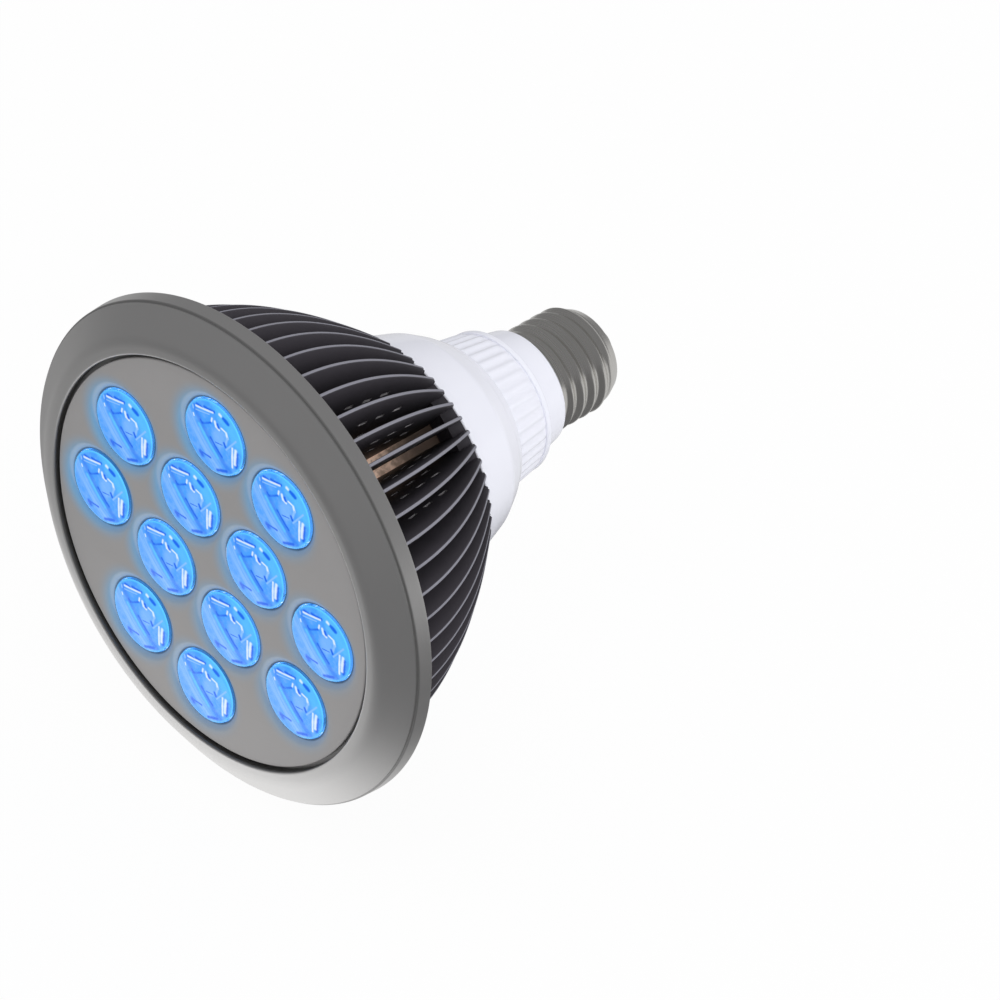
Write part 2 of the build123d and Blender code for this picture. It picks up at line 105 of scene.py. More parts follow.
RIM_R = half_width("bezel_ring")
PLATE_R = half_width("face_plate")
LENS_FLANGE_R = half_width(LENS_NODES[0])
FIN_R = half_width("heat_sink")
THREAD_R = half_width("screw_shell")

# Bezel ledge and skirt, lenses and the lit film inside them
LEDGE_WIDTH = 4.0 * MM
LEDGE_T = 1.5 * MM
SKIRT_SETBACK = 0.5 * MM
RING_WALL = 1.8 * MM
LENS_FLANGE = 1.1 * MM
LENS_FLANGE_T = 1.0 * MM
LENS_CLEARANCE = 0.2 * MM
LENS_FOOT_R = 4.2 * MM
LENS_POCKET_R = 3.0 * MM
LENS_POCKET_DEPTH = 3.0 * MM
LENS_BULGE = 0.8 * MM
FILM_DEPTH = 0.5 * MM
FILM_INSET = 0.35 * MM

# How far the halo and the glint on the plate lie to the left of each lens's middle and below it
HALO_SHIFT = (0.9 * MM, 0.4 * MM)
GLINT_SHIFT = (0.7 * MM, -0.9 * MM)

# Heat sink: its core and the zone of it with painted light, its fins and their punched slots
WIRE_HOLE_R = 3.0 * MM
BASE_T = 4.0 * MM
TUBE_R = 24.0 * MM
TUBE_WALL = 2.0 * MM
LIT_FULL = 10.0 * MM
LIT_END = 32.0 * MM
REAR_RING_R = 29.4 * MM
REAR_RING_T = 4.0 * MM
FIN_REAR_R = 31.0 * MM
FIN_REAR_SLOPE = 0.85
FIN_ROOT = 0.6 * MM
FIN_PHASE = math.radians(84.6)
NOTCH_L = 0.7 * MM
NOTCH_H = 0.6 * MM
SLOT_L = 2.8 * MM
SLOT_W = 0.8 * MM
SLOT_R = 42.0 * MM
SLOT_FALL = 0.28
SLOT_START = 18.0 * MM
SLOT_STEP = 6.1 * MM
SLOT_ROWS = 2
SLOTS_IN_ROW = 3
SLOT_ROW_GAP = 6.5 * MM
SLOT_EDGE = 0.3

# Housing: its radii from the collar's front to the cap's seat, its bend, walls and clearance in the tube
COLLAR_R = 29.8 * MM
BEND_R = 25.9 * MM
WAIST_R = 23.2 * MM
COLLAR_END_R = 20.8 * MM
NECK_R = 19.1 * MM
NECK_END_R = 17.4 * MM
NECK_LIP_R = 17.9 * MM
TAIL_R = 16.2 * MM
SEAT_R = 14.5 * MM
RIB_LEAST_R = 17.0 * MM
BEND_DEPTH = 12.2 * MM
HOUSING_WALL = 2.2 * MM
SLEEVE_WALL = 1.6 * MM
SLEEVE_CLEARANCE = 0.25 * MM
SPIGOT_R = 11.4 * MM
SPIGOT_WALL = 1.6 * MM

# Screw cap: its shell, thread, insulator and contact
SHELL_WALL = 0.7 * MM
THREAD_FIRST = 4.0 * MM
THREAD_FADE_IN = 2.0 * MM
THREAD_FADE_OUT = 1.6 * MM
SHOULDER_L = 2.6 * MM
SHOULDER_ROUND = 1.2 * MM
MOUTH_R = 10.2 * MM
MOUTH_ROUND = 0.4 * MM
PLUG_CLEARANCE = 0.05 * MM
PLUG_END_R = 5.5 * MM
PLUG_ROUND = 0.4 * MM
STEM_R = 1.6 * MM
CONTACT_R = 4.8 * MM
CONTACT_ROUND = 0.9 * MM

# Points in an arc, along a fin's edge and round each piece, and how meshes smooth edges and merge doubles
ARC_STEPS = 8
FIN_STEPS = 34
BEZEL_STEPS = 288
PLATE_STEPS = 256
HOLE_STEPS = 96
LENS_STEPS = 72
CORE_STEPS = 192
RIB_STEPS = 10
SHELL_STEPS = 160
PLUG_STEPS = 96
CONTACT_STEPS = 72
SMOOTH_ANGLE = math.radians(32.0)
MERGE_DISTANCE = 1e-7

# Where the camera stands, where it looks and its lens, the floor's depth below the bulb and half its side
CAMERA_PLACE = Vector((0.67316, -0.68893, 0.64669))
CAMERA_AIM = Vector((-0.57428, 0.58188, -0.57586))
CAMERA_LENS = 180.34
FLOOR_DROP = 0.005
FLOOR_HALF = 6.0

BLACK = (0.0, 0.0, 0.0)
WHITE = (1.0, 1.0, 1.0)

# Rays that see the surroundings as they look, the share of white on the floor for them, the tones that
# metal mirrors from the floor, from the room above it and from the floor's left and rear, and the soft
# light on everything
SEEING_RAYS = ("Is Camera Ray", "Is Glossy Ray", "Is Transmission Ray")
FLOOR_SHINE = 0.96
MIRRORED_ROOM = (0.13, 0.13, 0.132)
MIRRORED_SKY = (0.21, 0.21, 0.213)
MIRRORED_LEFT = (0.44, 0.44, 0.44)
MIRRORED_REAR = (0.6, 0.6, 0.6)
SOFT_LIGHT = (0.68, 0.68, 0.69)

# Where the floor's left tone starts and is full: going left, going back and coming forward; and where its
# rear tone starts and is full, going back
LEFT_ACROSS = (-0.05, 0.15)
LEFT_FRONT = (-0.3, -0.1)
LEFT_BACK = (-0.05, -0.08)
REAR_ALONG = (0.02, 0.06)

# Pool of light on the floor below the bulb's face: its middle, its stretch to the sides, where it starts
# to fade and where it ends, and its share of light on the bulb
POOL_X, POOL_Y = -0.035, -0.09
POOL_STRETCH = 0.65
POOL_FULL, POOL_END = 0.035, 0.08
POOL_LIGHT = 1.0

# Lamps: name, place, size and power
LAMPS = (
    ("key", (0.3, -0.5, 1.6), 0.9, 4.0),
    ("fill", (1.2, -0.9, 0.85), 1.0, 5.0),
    ("side", (1.4, 0.4, 0.8), 0.8, 4.0),
)


def srgb(red, green, blue):
    """A colour as it is seen on a screen, 0 to 255, made linear."""
    shares = [channel / 255 for channel in (red, green, blue)]
    return tuple(s / 12.92 if s <= 0.04045 else ((s + 0.055) / 1.055) ** 2.4 for s in shares)


def toned(colour, factor):
    """A colour made darker or lighter by a factor."""
    return tuple(min(1.0, channel * factor) for channel in colour)


def length_prop(name, description, millimetres):
    """A length that a user can change, kept in metres."""
    return bpy.props.FloatProperty(
        name=name, description=description, default=millimetres * MM, min=0.0, unit="LENGTH", precision=4)


def colour_prop(name, description, red, green, blue):
    """A colour that a user can change, given as it is seen."""
    return bpy.props.FloatVectorProperty(
        name=name, description=description, default=srgb(red, green, blue), size=3, min=0.0, max=1.0,
        subtype="COLOR")


class BulbSizes(bpy.types.PropertyGroup):
    """Sizes of the bulb's visible forms."""

    bezel_width: length_prop("Bezel width", "From the rim to the bore of the bezel", 11.1)
    lip_width: length_prop("Lip width", "From the bore to the crest of the bezel", 3.3)
    lip_round: length_prop("Lip rounding", "Radius of the lip's inner edge", 0.6)
    crest_round: length_prop("Crest rounding", "Radius between the lip and the sloped face", 5.0)
    face_drop: length_prop("Face drop", "How far the sloped face falls back", 5.0)
    step_rise: length_prop("Step rise", "Height of the step between face and rim band", 0.7)
    step_depth: length_prop("Step depth", "Depth of the fold at the step", 0.4)
    band_flare: length_prop("Band flare", "How far the rim band widens to its rear edge", 0.3)
    band_end: length_prop("Rim band end", "Depth of the rim band's rear edge behind the lip", 9.2)
    edge_round: length_prop("Edge rounding", "Radius of the small outer edges", 0.35)
    dish_width: length_prop("Hole dish width", "Width of the dish round each lens", 2.0)
    dish_depth: length_prop("Hole dish depth", "Depth of the dish round each lens", 0.8)
    lens_crown: length_prop("Lens crown", "Height of a lens's crowned face", 0.7)
    lens_edge: length_prop("Lens edge", "Rounding of a lens's face at its edge", 0.6)
    fin_thickness: length_prop("Fin thickness", "Thickness of one fin", 0.9)
    fin_round: length_prop("Fin rounding", "Rounding of a fin's edges", 0.3)
    collar_length: length_prop("Collar length", "Length of the bell collar", 20.0)
    shoulder_length: length_prop("Shoulder length", "Length of the collar's steep rear part", 3.2)
    shoulder_round: length_prop("Shoulder rounding", "Radius between the collar and its rear part", 8.0)
    neck_length: length_prop("Neck length", "Length of the ribbed neck", 12.7)
    neck_lip: length_prop("Neck lip", "Length of the smooth lip behind the ribs", 1.4)
    rib_height: length_prop("Rib height", "Height of the neck's ribs", 0.5)
    thread_pitch: length_prop("Thread pitch", "Advance of the screw cap's thread in one turn", 3.629)
    thread_depth: length_prop("Thread depth", "Depth of the screw cap's thread", 0.95)
    thread_start: length_prop("Thread start", "Where the thread starts behind the seat", 2.6)
    fin_count: bpy.props.IntProperty(name="Fins", description="Number of fins", default=55, min=3)
    rib_count: bpy.props.IntProperty(name="Ribs", description="Number of ribs on the neck", default=40, min=3)


class BulbColours(bpy.types.PropertyGroup):
    """Colours of the bulb's finishes."""

    bezel: colour_prop("Bezel", "Satin metal of the bezel", 228, 227, 226)
    plate: colour_prop("Plate", "Grey coat of the face plate", 165, 163, 162)
    halo: colour_prop("Halo", "Light that the lenses throw on the plate", 96, 168, 214)
    # The dish colour is a painted highlight on one side of each dish round a lens.
    dish: colour_prop("Dish", "Bright side of the dish round a lens", 196, 204, 210)
    gap: colour_prop("Gap", "Shade in the gap round a lens", 18, 58, 92)
    glow: colour_prop("Glow", "Main light of a lens", 72, 164, 255)
    glow_deep: colour_prop("Deep glow", "Darkest light of a lens", 0, 104, 238)
    glow_pale: colour_prop("Pale glow", "Palest light of a lens", 150, 200, 255)
    glow_cyan: colour_prop("Cyan glow", "Light at a lens's edge", 96, 200, 255)
    fin: colour_prop("Fin", "Black coat of the fins", 72, 69, 75)
    # The fin edge colour is bare metal along the edges and partly a painted highlight of their rounding.
    fin_edge: colour_prop("Fin edge", "Worn edge of the fins", 144, 144, 154)
    fin_cut: colour_prop("Fin cut", "Bare metal in the punched slots", 160, 158, 160)
    core: colour_prop("Core", "Cast core between the fins", 250, 216, 194)
    housing: colour_prop("Housing", "Glossy plastic of collar and neck", 242, 243, 252)
    cap: colour_prop("Cap", "Nickel of the screw shell", 232, 230, 226)
    plug: colour_prop("Plug", "Insulator of the screw cap", 26, 25, 27)
    contact: colour_prop("Contact", "Tinned end contact", 190, 188, 182)


def rounded(corners, radii):
    """Outline through corners, each replaced by an arc of its radius.

    At a corner P with unit directions a and b to its neighbours and half angle h between them, the arc's
    centre is P + r / sin(h) along the bisector, and it runs from P + a r / tan(h) to P + b r / tan(h).
    """
    points = np.asarray(corners, float)
    radius = np.asarray(radii, float)[:, None]
    before = np.roll(points, 1, axis=0) - points
    after = np.roll(points, -1, axis=0) - points
    before /= np.linalg.norm(before, axis=1, keepdims=True)
    after /= np.linalg.norm(after, axis=1, keepdims=True)
    half = np.arccos(np.clip((before * after).sum(axis=1, keepdims=True), -1, 1)) / 2
    half = np.clip(half, 1e-3, math.pi / 2 - 1e-3)
    bisector = before + after
    bisector /= np.maximum(np.linalg.norm(bisector, axis=1, keepdims=True), 1e-9)
    centre = points + bisector * radius / np.sin(half)
    start = points + before * radius / np.tan(half) - centre
    end = points + after * radius / np.tan(half) - centre
    sweep = (math.pi - 2 * half)[:, None, :]
    share = np.linspace(0, 1, ARC_STEPS)[None, :, None]
    arcs = np.sin((1 - share) * sweep) * start[:, None, :] + np.sin(share * sweep) * end[:, None, :]
    outline = (centre[:, None, :] + arcs / np.sin(sweep)).reshape(-1, 2)
    moved = np.linalg.norm(outline - np.roll(outline, 1, axis=0), axis=1) > 1e-8
    moved[0] = True
    return outline[moved]


def spread(outline, step, closed=True):
    """The outline with points added so that no run is longer than the step."""
    following = np.roll(outline, -1, axis=0)
    start = outline if closed else outline[:-1]
    run = (following - outline)[:len(start)]
    counts = np.maximum(1, np.ceil(np.linalg.norm(run, axis=1) / step)).astype(int)
    owner = np.repeat(np.arange(len(counts)), counts)
    first = np.repeat(np.cumsum(counts) - counts, counts)
    share = (np.arange(counts.sum()) - first) / counts[owner]
    points = start[owner] + share[:, None] * run[owner]
    return points if closed else np.vstack([points, outline[-1:]])


def smooth_section(section, step):
    """Outline of a section's corners (radius, y, rounding) with no run longer than the step."""
    corners = np.array(section)
    return spread(rounded(corners[:, :2], corners[:, 2]), step)


def grid_quads(rows, columns, wrap_rows=False):
    """Quads between neighbours of a grid of points, as point numbers row by row; the columns close up."""
    row, column = np.meshgrid(np.arange(rows - (not wrap_rows)), np.arange(columns), indexing="ij")
    next_row = (row + 1) % rows
    next_column = (column + 1) % columns
    corners = [row * columns + column, next_row * columns + column]
    corners += [next_row * columns + next_column, row * columns + next_column]
    return np.stack(corners, axis=-1).reshape(-1, 4)


def revolved(radius, y, steps):
    """Points turned about Y: (r cos a, y, r sin a), with y by row and radius by row or by row and angle."""
    angle = np.linspace(0, 2 * math.pi, steps, endpoint=False)
    radius = radius if radius.ndim == 2 else np.repeat(radius[:, None], steps, axis=1)
    depth = np.repeat(np.asarray(y)[:, None], steps, axis=1)
    return np.stack([radius * np.cos(angle), depth, radius * np.sin(angle)], axis=-1).reshape(-1, 3)


def make_piece(name, points, faces):
    """A mesh object: its doubles merged, its faces turned outwards and its soft edges smooth."""
    mesh = bpy.data.meshes.new(name)
    mesh.from_pydata(points.tolist(), [], faces)
    work = bmesh.new()
    work.from_mesh(mesh)
    bmesh.ops.remove_doubles(work, verts=work.verts, dist=MERGE_DISTANCE)
    bmesh.ops.recalc_face_normals(work, faces=work.faces)
    work.to_mesh(mesh)
    work.free()
    mesh.polygons.foreach_set("use_smooth", np.ones(len(mesh.polygons), bool))
    mesh.set_sharp_from_angle(angle=SMOOTH_ANGLE)
    piece = bpy.data.objects.new(name, mesh)
    bpy.context.scene.collection.objects.link(piece)
    return piece


def turned_piece(name, radius, y, steps):
    """A ring or a solid turned about Y from a closed outline, given as for revolved."""
    return make_piece(name, revolved(radius, y, steps), grid_quads(len(y), steps, wrap_rows=True).tolist())


def stand_in(piece, nodes, slot, *finishes):
    """Puts a finished piece in place of its nodes, with its finishes. The slot is not used."""
    for finish in finishes:
        piece.data.materials.append(finish)
    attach(piece, BODY)
    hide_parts(*nodes)


def dress(nodes, finish):
    """Gives nodes that stay as they are a finish."""
    for name in nodes:
        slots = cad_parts[name].data.materials
        slots.clear()
        slots.append(finish)


def loop_sides(loop):
    """Unit directions to the left of a closed loop's way, one for each point."""
    way = np.roll(loop, -1, axis=0) - np.roll(loop, 1, axis=0)
    way /= np.linalg.norm(way, axis=1, keepdims=True)
    return np.stack([-way[:, 1], way[:, 0]], axis=-1)


def sheet_with_edges(loops, profiles):
    """Points (u, v, w) and faces of a flat sheet with worked edges, and the number of each edge face's loop.

    Each loop has the sheet on its left. Its profile of (inset, w) pairs is carried along it: the point is
    loop + inset * left, at height w. The first and last rows are filled as the sheet's two faces, numbered 0.
    """
    points = []
    faces = []
    count = 0
    rows = len(profiles[0])
    first_rows = []
    last_rows = []
    owners = []
    for number, (loop, profile) in enumerate(zip(loops, profiles)):
        inset = np.asarray(profile)[:, 0]
        height = np.asarray(profile)[:, 1]
        flat = loop[None] + inset[:, None, None] * loop_sides(loop)[None]
        tall = np.repeat(height[:, None, None], len(loop), axis=1)
        points.append(np.concatenate([flat, tall], axis=-1).reshape(-1, 3))
        faces += (grid_quads(rows, len(loop)) + count).tolist()
        owners += [number] * (len(faces) - len(owners))
        first_rows.append(count + np.arange(len(loop)))
        last_rows.append(count + (rows - 1) * len(loop) + np.arange(len(loop)))
        count += rows * len(loop)
    points = np.vstack(points)
    for row_sets in (first_rows, last_rows):
        numbers = np.concatenate(row_sets)
        outlines = [[Vector((*points[n, :2], 0.0)) for n in row] for row in row_sets]
        faces += numbers[np.array(tessellate_polygon(outlines))].tolist()
    owners += [0] * (len(faces) - len(owners))
    return points, faces, np.array(owners)


def circle(radius, steps, centre=(0.0, 0.0), forward=True):
    """Points on a circle, anticlockwise or the other way round."""
    angle = np.linspace(0, 2 * math.pi, steps, endpoint=False) * (1 if forward else -1)
    return np.stack([centre[0] + radius * np.cos(angle), centre[1] + radius * np.sin(angle)], axis=-1)


def maths_method(operation, swapped=False):
    """A method that adds a Math node of an operation on a socket and another value, in turn or swapped."""
    def method(self, other):
        return self.maths(operation, *((other, self) if swapped else (self, other)))

    return method


class Socket:
    """An output socket; arithmetic on it adds Math nodes to its tree.

    The larger of it and another value is given by above, and the smaller by below.
    """

    __add__ = maths_method("ADD")
    __radd__ = maths_method("ADD", swapped=True)
    __sub__ = maths_method("SUBTRACT")
    __rsub__ = maths_method("SUBTRACT", swapped=True)
    __mul__ = maths_method("MULTIPLY")
    __rmul__ = maths_method("MULTIPLY", swapped=True)
    __truediv__ = maths_method("DIVIDE")
    __pow__ = maths_method("POWER")
    above = maths_method("MAXIMUM")
    below = maths_method("MINIMUM")

    def __init__(self, tree, socket):
        self.tree = tree
        self.socket = socket

    def maths(self, operation, *terms):
        """A Math node of an operation on the terms, which are sockets or numbers."""
        node = self.tree.nodes.new("ShaderNodeMath")
        node.operation = operation
        for entry, term in zip(node.inputs, terms):
            feed(self.tree, entry, term)
        return Socket(self.tree, node.outputs[0])

    def root(self):
        """The square root."""
        return self.maths("SQRT", self)

    def floor(self):
        """The whole number below."""
        return self.maths("FLOOR", self)


def distance(across, up):
    """Length of the way across and up, both sockets."""
    return (across * across + up * up).root()


def feed(tree, entry, value):
    """Links a socket to an input, or sets the input to a number, a colour or a vector."""
    if isinstance(value, Socket):
        tree.links.new(value.socket, entry)
    elif entry.type == "RGBA" and len(value) == 3:
        entry.default_value = (*value, 1.0)
    else:
        entry.default_value = value


class Finish:
    """A node tree under construction, for a material or for the world."""

    def __init__(self, owner):
        owner.use_nodes = True
        self.owner = owner
        self.tree = owner.node_tree
        self.tree.nodes.clear()

    def add(self, kind, settings=None, inputs=None, output=0):
        """Adds a node, sets its settings, then the values or links of its inputs, and gives one output."""
        node = self.tree.nodes.new("ShaderNode" + kind)
        for name, value in (settings or {}).items():
            setattr(node, name, value)
        for name, value in (inputs or {}).items():
            feed(self.tree, node.inputs[name], value)
        return Socket(self.tree, node.outputs[output]) if node.outputs else None

    def place(self):
        """Object coordinates as three values, in metres."""
        spot = self.add("TexCoord", output=3)
        return spot, [self.add("SeparateXYZ", inputs={0: spot}, output=axis) for axis in range(3)]

    def front_view(self):
        """Place in a lens's front view, in millimetres across and up from its middle."""
        spot = self.add("UVMap", {"uv_map": "face"})
        return [self.add("SeparateXYZ", inputs={0: spot}, output=axis) for axis in (0, 1)]

    def ramp(self, value, low, high):
        """A smooth change from 0 at low to 1 at high."""
        return self.add("MapRange", {"interpolation_type": "SMOOTHSTEP"}, {0: value, 1: low, 2: high})

    def noise(self, spot, scale, detail):
        """Fractal noise between 0 and 1."""
        inputs = {"Vector": spot, "Scale": scale, "Detail": detail, "Roughness": 0.55}
        return self.add("TexNoise", inputs=inputs)

    def mix(self, share, first, second):
        """A colour between two colours."""
        settings = {"data_type": "RGBA", "clamp_factor": True}
        return self.add("Mix", settings, {0: share, 6: first, 7: second}, output=2)

    def bump(self, height, strength, distance):
        """A normal bent by a height."""
        return self.add("Bump", inputs={"Strength": strength, "Distance": distance, "Height": height})

    def close(self, inputs):
        """Ends a material in a Principled shader with these inputs."""
        shader = self.add("BsdfPrincipled", inputs=inputs)
        self.add("OutputMaterial", inputs={"Surface": shader})
        return self.owner


def new_finish(name):
    """An empty material to build."""
    return Finish(bpy.data.materials.new(name))


def satin_metal(colours, fold, bore):
    """Blasted metal of the bezel: fine grain, faint clouds, and painted shade in the fold at the step and in
    the bore.
    """
    finish = new_finish("bezel_satin")
    spot, (x, y, z) = finish.place()
    grain = finish.noise(spot, 2600.0, 2.0)
    cloud = finish.noise(spot, 45.0, 2.0)
    tone = finish.mix(cloud * 0.5, colours.bezel, toned(colours.bezel, 0.9))
    # Painted shade: the colour is darkened in the fold at the step and in the bore inside the lip.
    aside = y - fold
    fold_shade = 1.0 - finish.ramp((aside * aside).root(), 0.1 * MM, 0.55 * MM)
    bore_shade = 1.0 - finish.ramp(distance(x, z), bore + 0.05 * MM, bore + 0.3 * MM)
    shade = (fold_shade * 0.4).above(bore_shade * 0.7)
    return finish.close({
        "Base Color": finish.mix(shade, tone, toned(colours.bezel, 0.1)),
        "Metallic": 0.97,
        "Roughness": 0.4 + grain * 0.1,
        "Normal": finish.bump(grain, 0.08, 0.0002),
    })


def lens_distance(finish, x, z):
    """Distance across the plate to the nearest lens's middle.

    The lenses fill a square grid of 4 by 4 without its corners: two blocks of 4 by 2 and 2 by 4 squares.
    """
    step = LENS_PLACES[4] - LENS_PLACES[3]
    pitch = float(np.linalg.norm(step))
    along = step / pitch
    column = (x * float(along[0]) + z * float(along[1])) / pitch
    row = (z * float(along[0]) - x * float(along[1])) / pitch
    blocks = []
    for across, up in ((1.5, 0.5), (0.5, 1.5)):
        beside = column - (column.floor() + 0.5).above(-across).below(across)
        over = row - (row.floor() + 0.5).above(-up).below(up)
        blocks.append(distance(beside, over))
    return blocks[0].below(blocks[1]) * pitch


def plate_coat(colours, hole_radius):
    """Grey coat of the plate, with the lenses' blue light painted on it round each hole, a painted highlight
    on one side of each dish and painted shade in the gap round each lens.
    """
    finish = new_finish("plate_grey")
    spot, (x, _, z) = finish.place()
    grain = finish.noise(spot, 2200.0, 2.0)
    cloud = finish.noise(spot, 30.0, 2.0)
    tone = finish.mix(cloud * 0.5, colours.plate, toned(colours.plate, 0.88))
    # Painted light: the lenses' blue glow on the plate, stronger at the upper left.
    away = lens_distance(finish, x + HALO_SHIFT[0], z + HALO_SHIFT[1]) - hole_radius
    upper_left = finish.ramp(z - x, -0.05, 0.05)
    halo = (1.0 - finish.ramp(away, -0.8 * MM, 5.0 * MM)) ** 1.5 * (0.5 + upper_left * 0.5)
    lit = finish.mix(halo * 0.8, tone, colours.halo)
    # Painted highlight: the dish colour on one side of each hole, offset from its middle.
    beside = lens_distance(finish, x + GLINT_SHIFT[0], z + GLINT_SHIFT[1]) - hole_radius
    lit = finish.mix((1.0 - finish.ramp(beside, 0.1 * MM, 0.8 * MM)) * 0.42, lit, colours.dish)
    gap = lens_distance(finish, x, z) - hole_radius
    lit = finish.mix((1.0 - finish.ramp(gap, 0.15 * MM, 0.6 * MM)) * 0.8, lit, colours.gap)
    glow = finish.mix(halo, BLACK, toned(colours.halo, 0.1))
    return finish.close({
        "Base Color": lit,
        "Metallic": 0.15,
        "Roughness": 0.5 + grain * 0.08,
        "Normal": finish.bump(grain, 0.05, 0.0002),
        "Emission Color": glow,
        "Emission Strength": 1.0,
    })


def lens_clear(colours, radius):
    """Clear moulded face of a lens, with the light that leaves at its rim."""
    finish = new_finish("lens_clear")
    spot, _ = finish.place()
    haze = finish.noise(spot, 400.0, 1.0)
    tint = finish.mix(haze, (0.72, 0.88, 1.0), (0.82, 0.93, 1.0))
    across, up = finish.front_view()
    rim = finish.ramp(distance(across, up), radius / MM - 0.3, radius / MM - 0.05)
    return finish.close({
        "Base Color": tint,
        "Roughness": 0.03,
        "IOR": 1.45,
        "Transmission Weight": 1.0,
        "Emission Color": finish.mix(rim, BLACK, toned(colours.glow, 0.35)),
        "Emission Strength": 1.0,
    })


# In millimetres: a place on the cyan line in a lens, the way to its lower left, and a pale pool's middle
CYAN_START = (-3.9, 1.9)
CYAN_SIDE = (-0.748, -0.663)
PALE_POOL = (2.3, 1.2)

# Strokes of painted light in a lens, the white ones painted highlights: tone, start and end across and up,
# and half width, in millimetres
LIGHT_STROKES = (
    ("deep", -4.9, 6.4, -3.2, 6.4, 0.45),
    ("deep", -2.6, 6.9, 0.6, 7.0, 0.40),
    ("white", -5.2, 5.9, 0.3, 6.7, 0.26),
    ("pale", -5.2, 5.0, -0.8, 5.8, 0.16),
    ("pale", -6.3, 5.5, -6.1, 5.0, 0.30),
    ("white", -6.0, 3.6, -5.8, 3.2, 0.26),
    ("deep", -3.6, 3.2, -3.0, 2.7, 0.34),
    ("deep", -3.0, 2.7, -0.3, 4.0, 0.32),
    ("glow", -2.4, 3.6, -0.9, 4.6, 0.60),
    ("white", 0.1, 5.2, 0.0, 4.5, 0.28),
    ("deep", 3.4, 6.6, 4.9, 5.8, 0.50),
    ("cyan", -3.9, 1.9, -2.4, 0.3, 0.50),
    ("cyan", -2.4, 0.3, 1.6, -4.3, 0.50),
    ("deep", -0.3, 0.2, 2.9, -3.4, 0.36),
    ("white", 1.0, 4.8, 1.4, 3.9, 0.36),
    ("white", 1.4, 3.7, 2.4, 3.3, 0.26),
    ("deep", 1.9, 4.4, 2.2, 3.9, 0.46),
    ("white", 3.0, 4.0, 4.1, 3.6, 0.24),
    ("white", 4.4, 3.4, 4.8, 2.2, 0.34),
    ("pale", 4.8, 2.2, 4.3, 0.5, 0.34),
    ("deep", 3.8, 0.6, 4.2, -0.3, 0.36),
    ("deep", 1.2, -0.3, 3.2, -0.2, 0.18),
    ("pale", 4.4, -0.9, 7.2, 2.4, 0.26),
    ("deep", -4.2, -5.6, -3.8, -5.9, 0.85),
    ("deep", -3.5, -5.3, -0.8, -5.4, 0.30),
    ("deep", 0.9, -8.0, 3.9, -6.9, 0.50),
    ("deep", 7.5, -0.7, 7.0, -4.4, 0.50),
    ("white", 6.2, 0.3, 5.8, -5.0, 0.28),
    ("white", 7.1, 0.0, 6.6, -3.8, 0.42),
    ("white", 2.3, 7.1, 2.7, 6.9, 0.40),
)


def lens_glow(colours):
    """Light inside a lens, painted on a film seen through its clear face: a pale and a cyan zone on blue, and
    strokes of painted light, the white ones painted highlights.

    A stroke's share is 1 close to its line and fades to 0 beyond its half width.
    """
    finish = new_finish("lens_glow")
    across, up = finish.front_view()
    ripple = finish.noise(finish.add("CombineXYZ", inputs={0: across, 1: up}), 0.55, 2.0)
    lean = across * 0.72 + up * 0.69 + ripple * 1.2
    tones = {
        "deep": colours.glow_deep,
        "glow": colours.glow,
        "cyan": colours.glow_cyan,
        "pale": colours.glow_pale,
        # The white tone is for painted highlights.
        "white": (0.86, 0.94, 1.0),
    }
    tone = finish.mix(finish.ramp(ripple, 0.4, 0.75) * 0.4, colours.glow, colours.glow_pale)
    tone = finish.mix(finish.ramp(lean, 5.0, 7.5) * 0.8, tone, colours.glow_cyan)
    line = (across - CYAN_START[0]) * CYAN_SIDE[0] + (up - CYAN_START[1]) * CYAN_SIDE[1]
    streak = finish.noise(finish.add("CombineXYZ", inputs={0: line * 1.6, 1: up * 0.12}), 0.8, 2.0)
    wedge = finish.ramp(line, 0.2, 1.6) * (1.0 - finish.ramp(line, 2.6, 5.0)) * finish.ramp(streak, 0.25, 0.6)
    tone = finish.mix(wedge * 0.75, tone, colours.glow_pale)
    tone = finish.mix(finish.ramp(line, -2.2, -1.0) * finish.ramp(line, 0.2, -0.6) * 0.5, tone, tones["deep"])
    pool = distance(across - PALE_POOL[0], (up - PALE_POOL[1]) * math.sqrt(0.6))
    tone = finish.mix((1.0 - finish.ramp(pool, 1.0, 2.8)) * 0.6, tone, colours.glow_pale)
    for kind, x0, z0, x1, z1, half in LIGHT_STROKES:
        run_x, run_z = x1 - x0, z1 - z0
        aside, over = across - x0, up - z0
        share = ((aside * run_x + over * run_z) / (run_x * run_x + run_z * run_z)).above(0.0).below(1.0)
        aside, over = aside - share * run_x, over - share * run_z
        away = distance(aside, over) + (ripple - 0.5) * half
        soft = 0.25 if kind == "deep" else 0.1
        stroke = 1.0 - finish.ramp(away, half * soft, half * (1.6 - soft))
        tone = finish.mix(stroke, tone, tones[kind])
    tone = finish.mix(finish.ramp(distance(across, up), 8.4, 8.75) * 0.7, tone, colours.glow_cyan)
    return finish.close({
        "Base Color": (0.0, 0.02, 0.08),
        "Roughness": 0.4,
        "Emission Color": tone,
        "Emission Strength": 1.0,
    })


def diode_finish(colours):
    """Diode: pale body and bright dome."""
    finish = new_finish("led_blue")
    spot, _ = finish.place()
    speckle = finish.noise(spot, 900.0, 1.0)
    tone = finish.mix(speckle, colours.glow_pale, (0.9, 0.96, 1.0))
    return finish.close({
        "Base Color": tone,
        "Roughness": 0.3,
        "Emission Color": tone,
        "Emission Strength": 0.8,
    })


def fin_edge(share):
    """Radius of a fin's outer edge at a share of its length, for numbers and sockets alike.

    With share t it is (1-t)^3 R + 3(1-t)^2 t R + 3(1-t) t^2 H + t^3 E, where R and E are the radii at the
    fin's ends and H is the rear handle.
    """
    handle = FIN_REAR_R + FIN_REAR_SLOPE * (SINK_END - FIN_FRONT) / 3
    rest = 1.0 - share
    front_part = rest * rest * (rest + share * 3.0) * FIN_R
    return front_part + share * share * (rest * (3.0 * handle) + share * FIN_REAR_R)


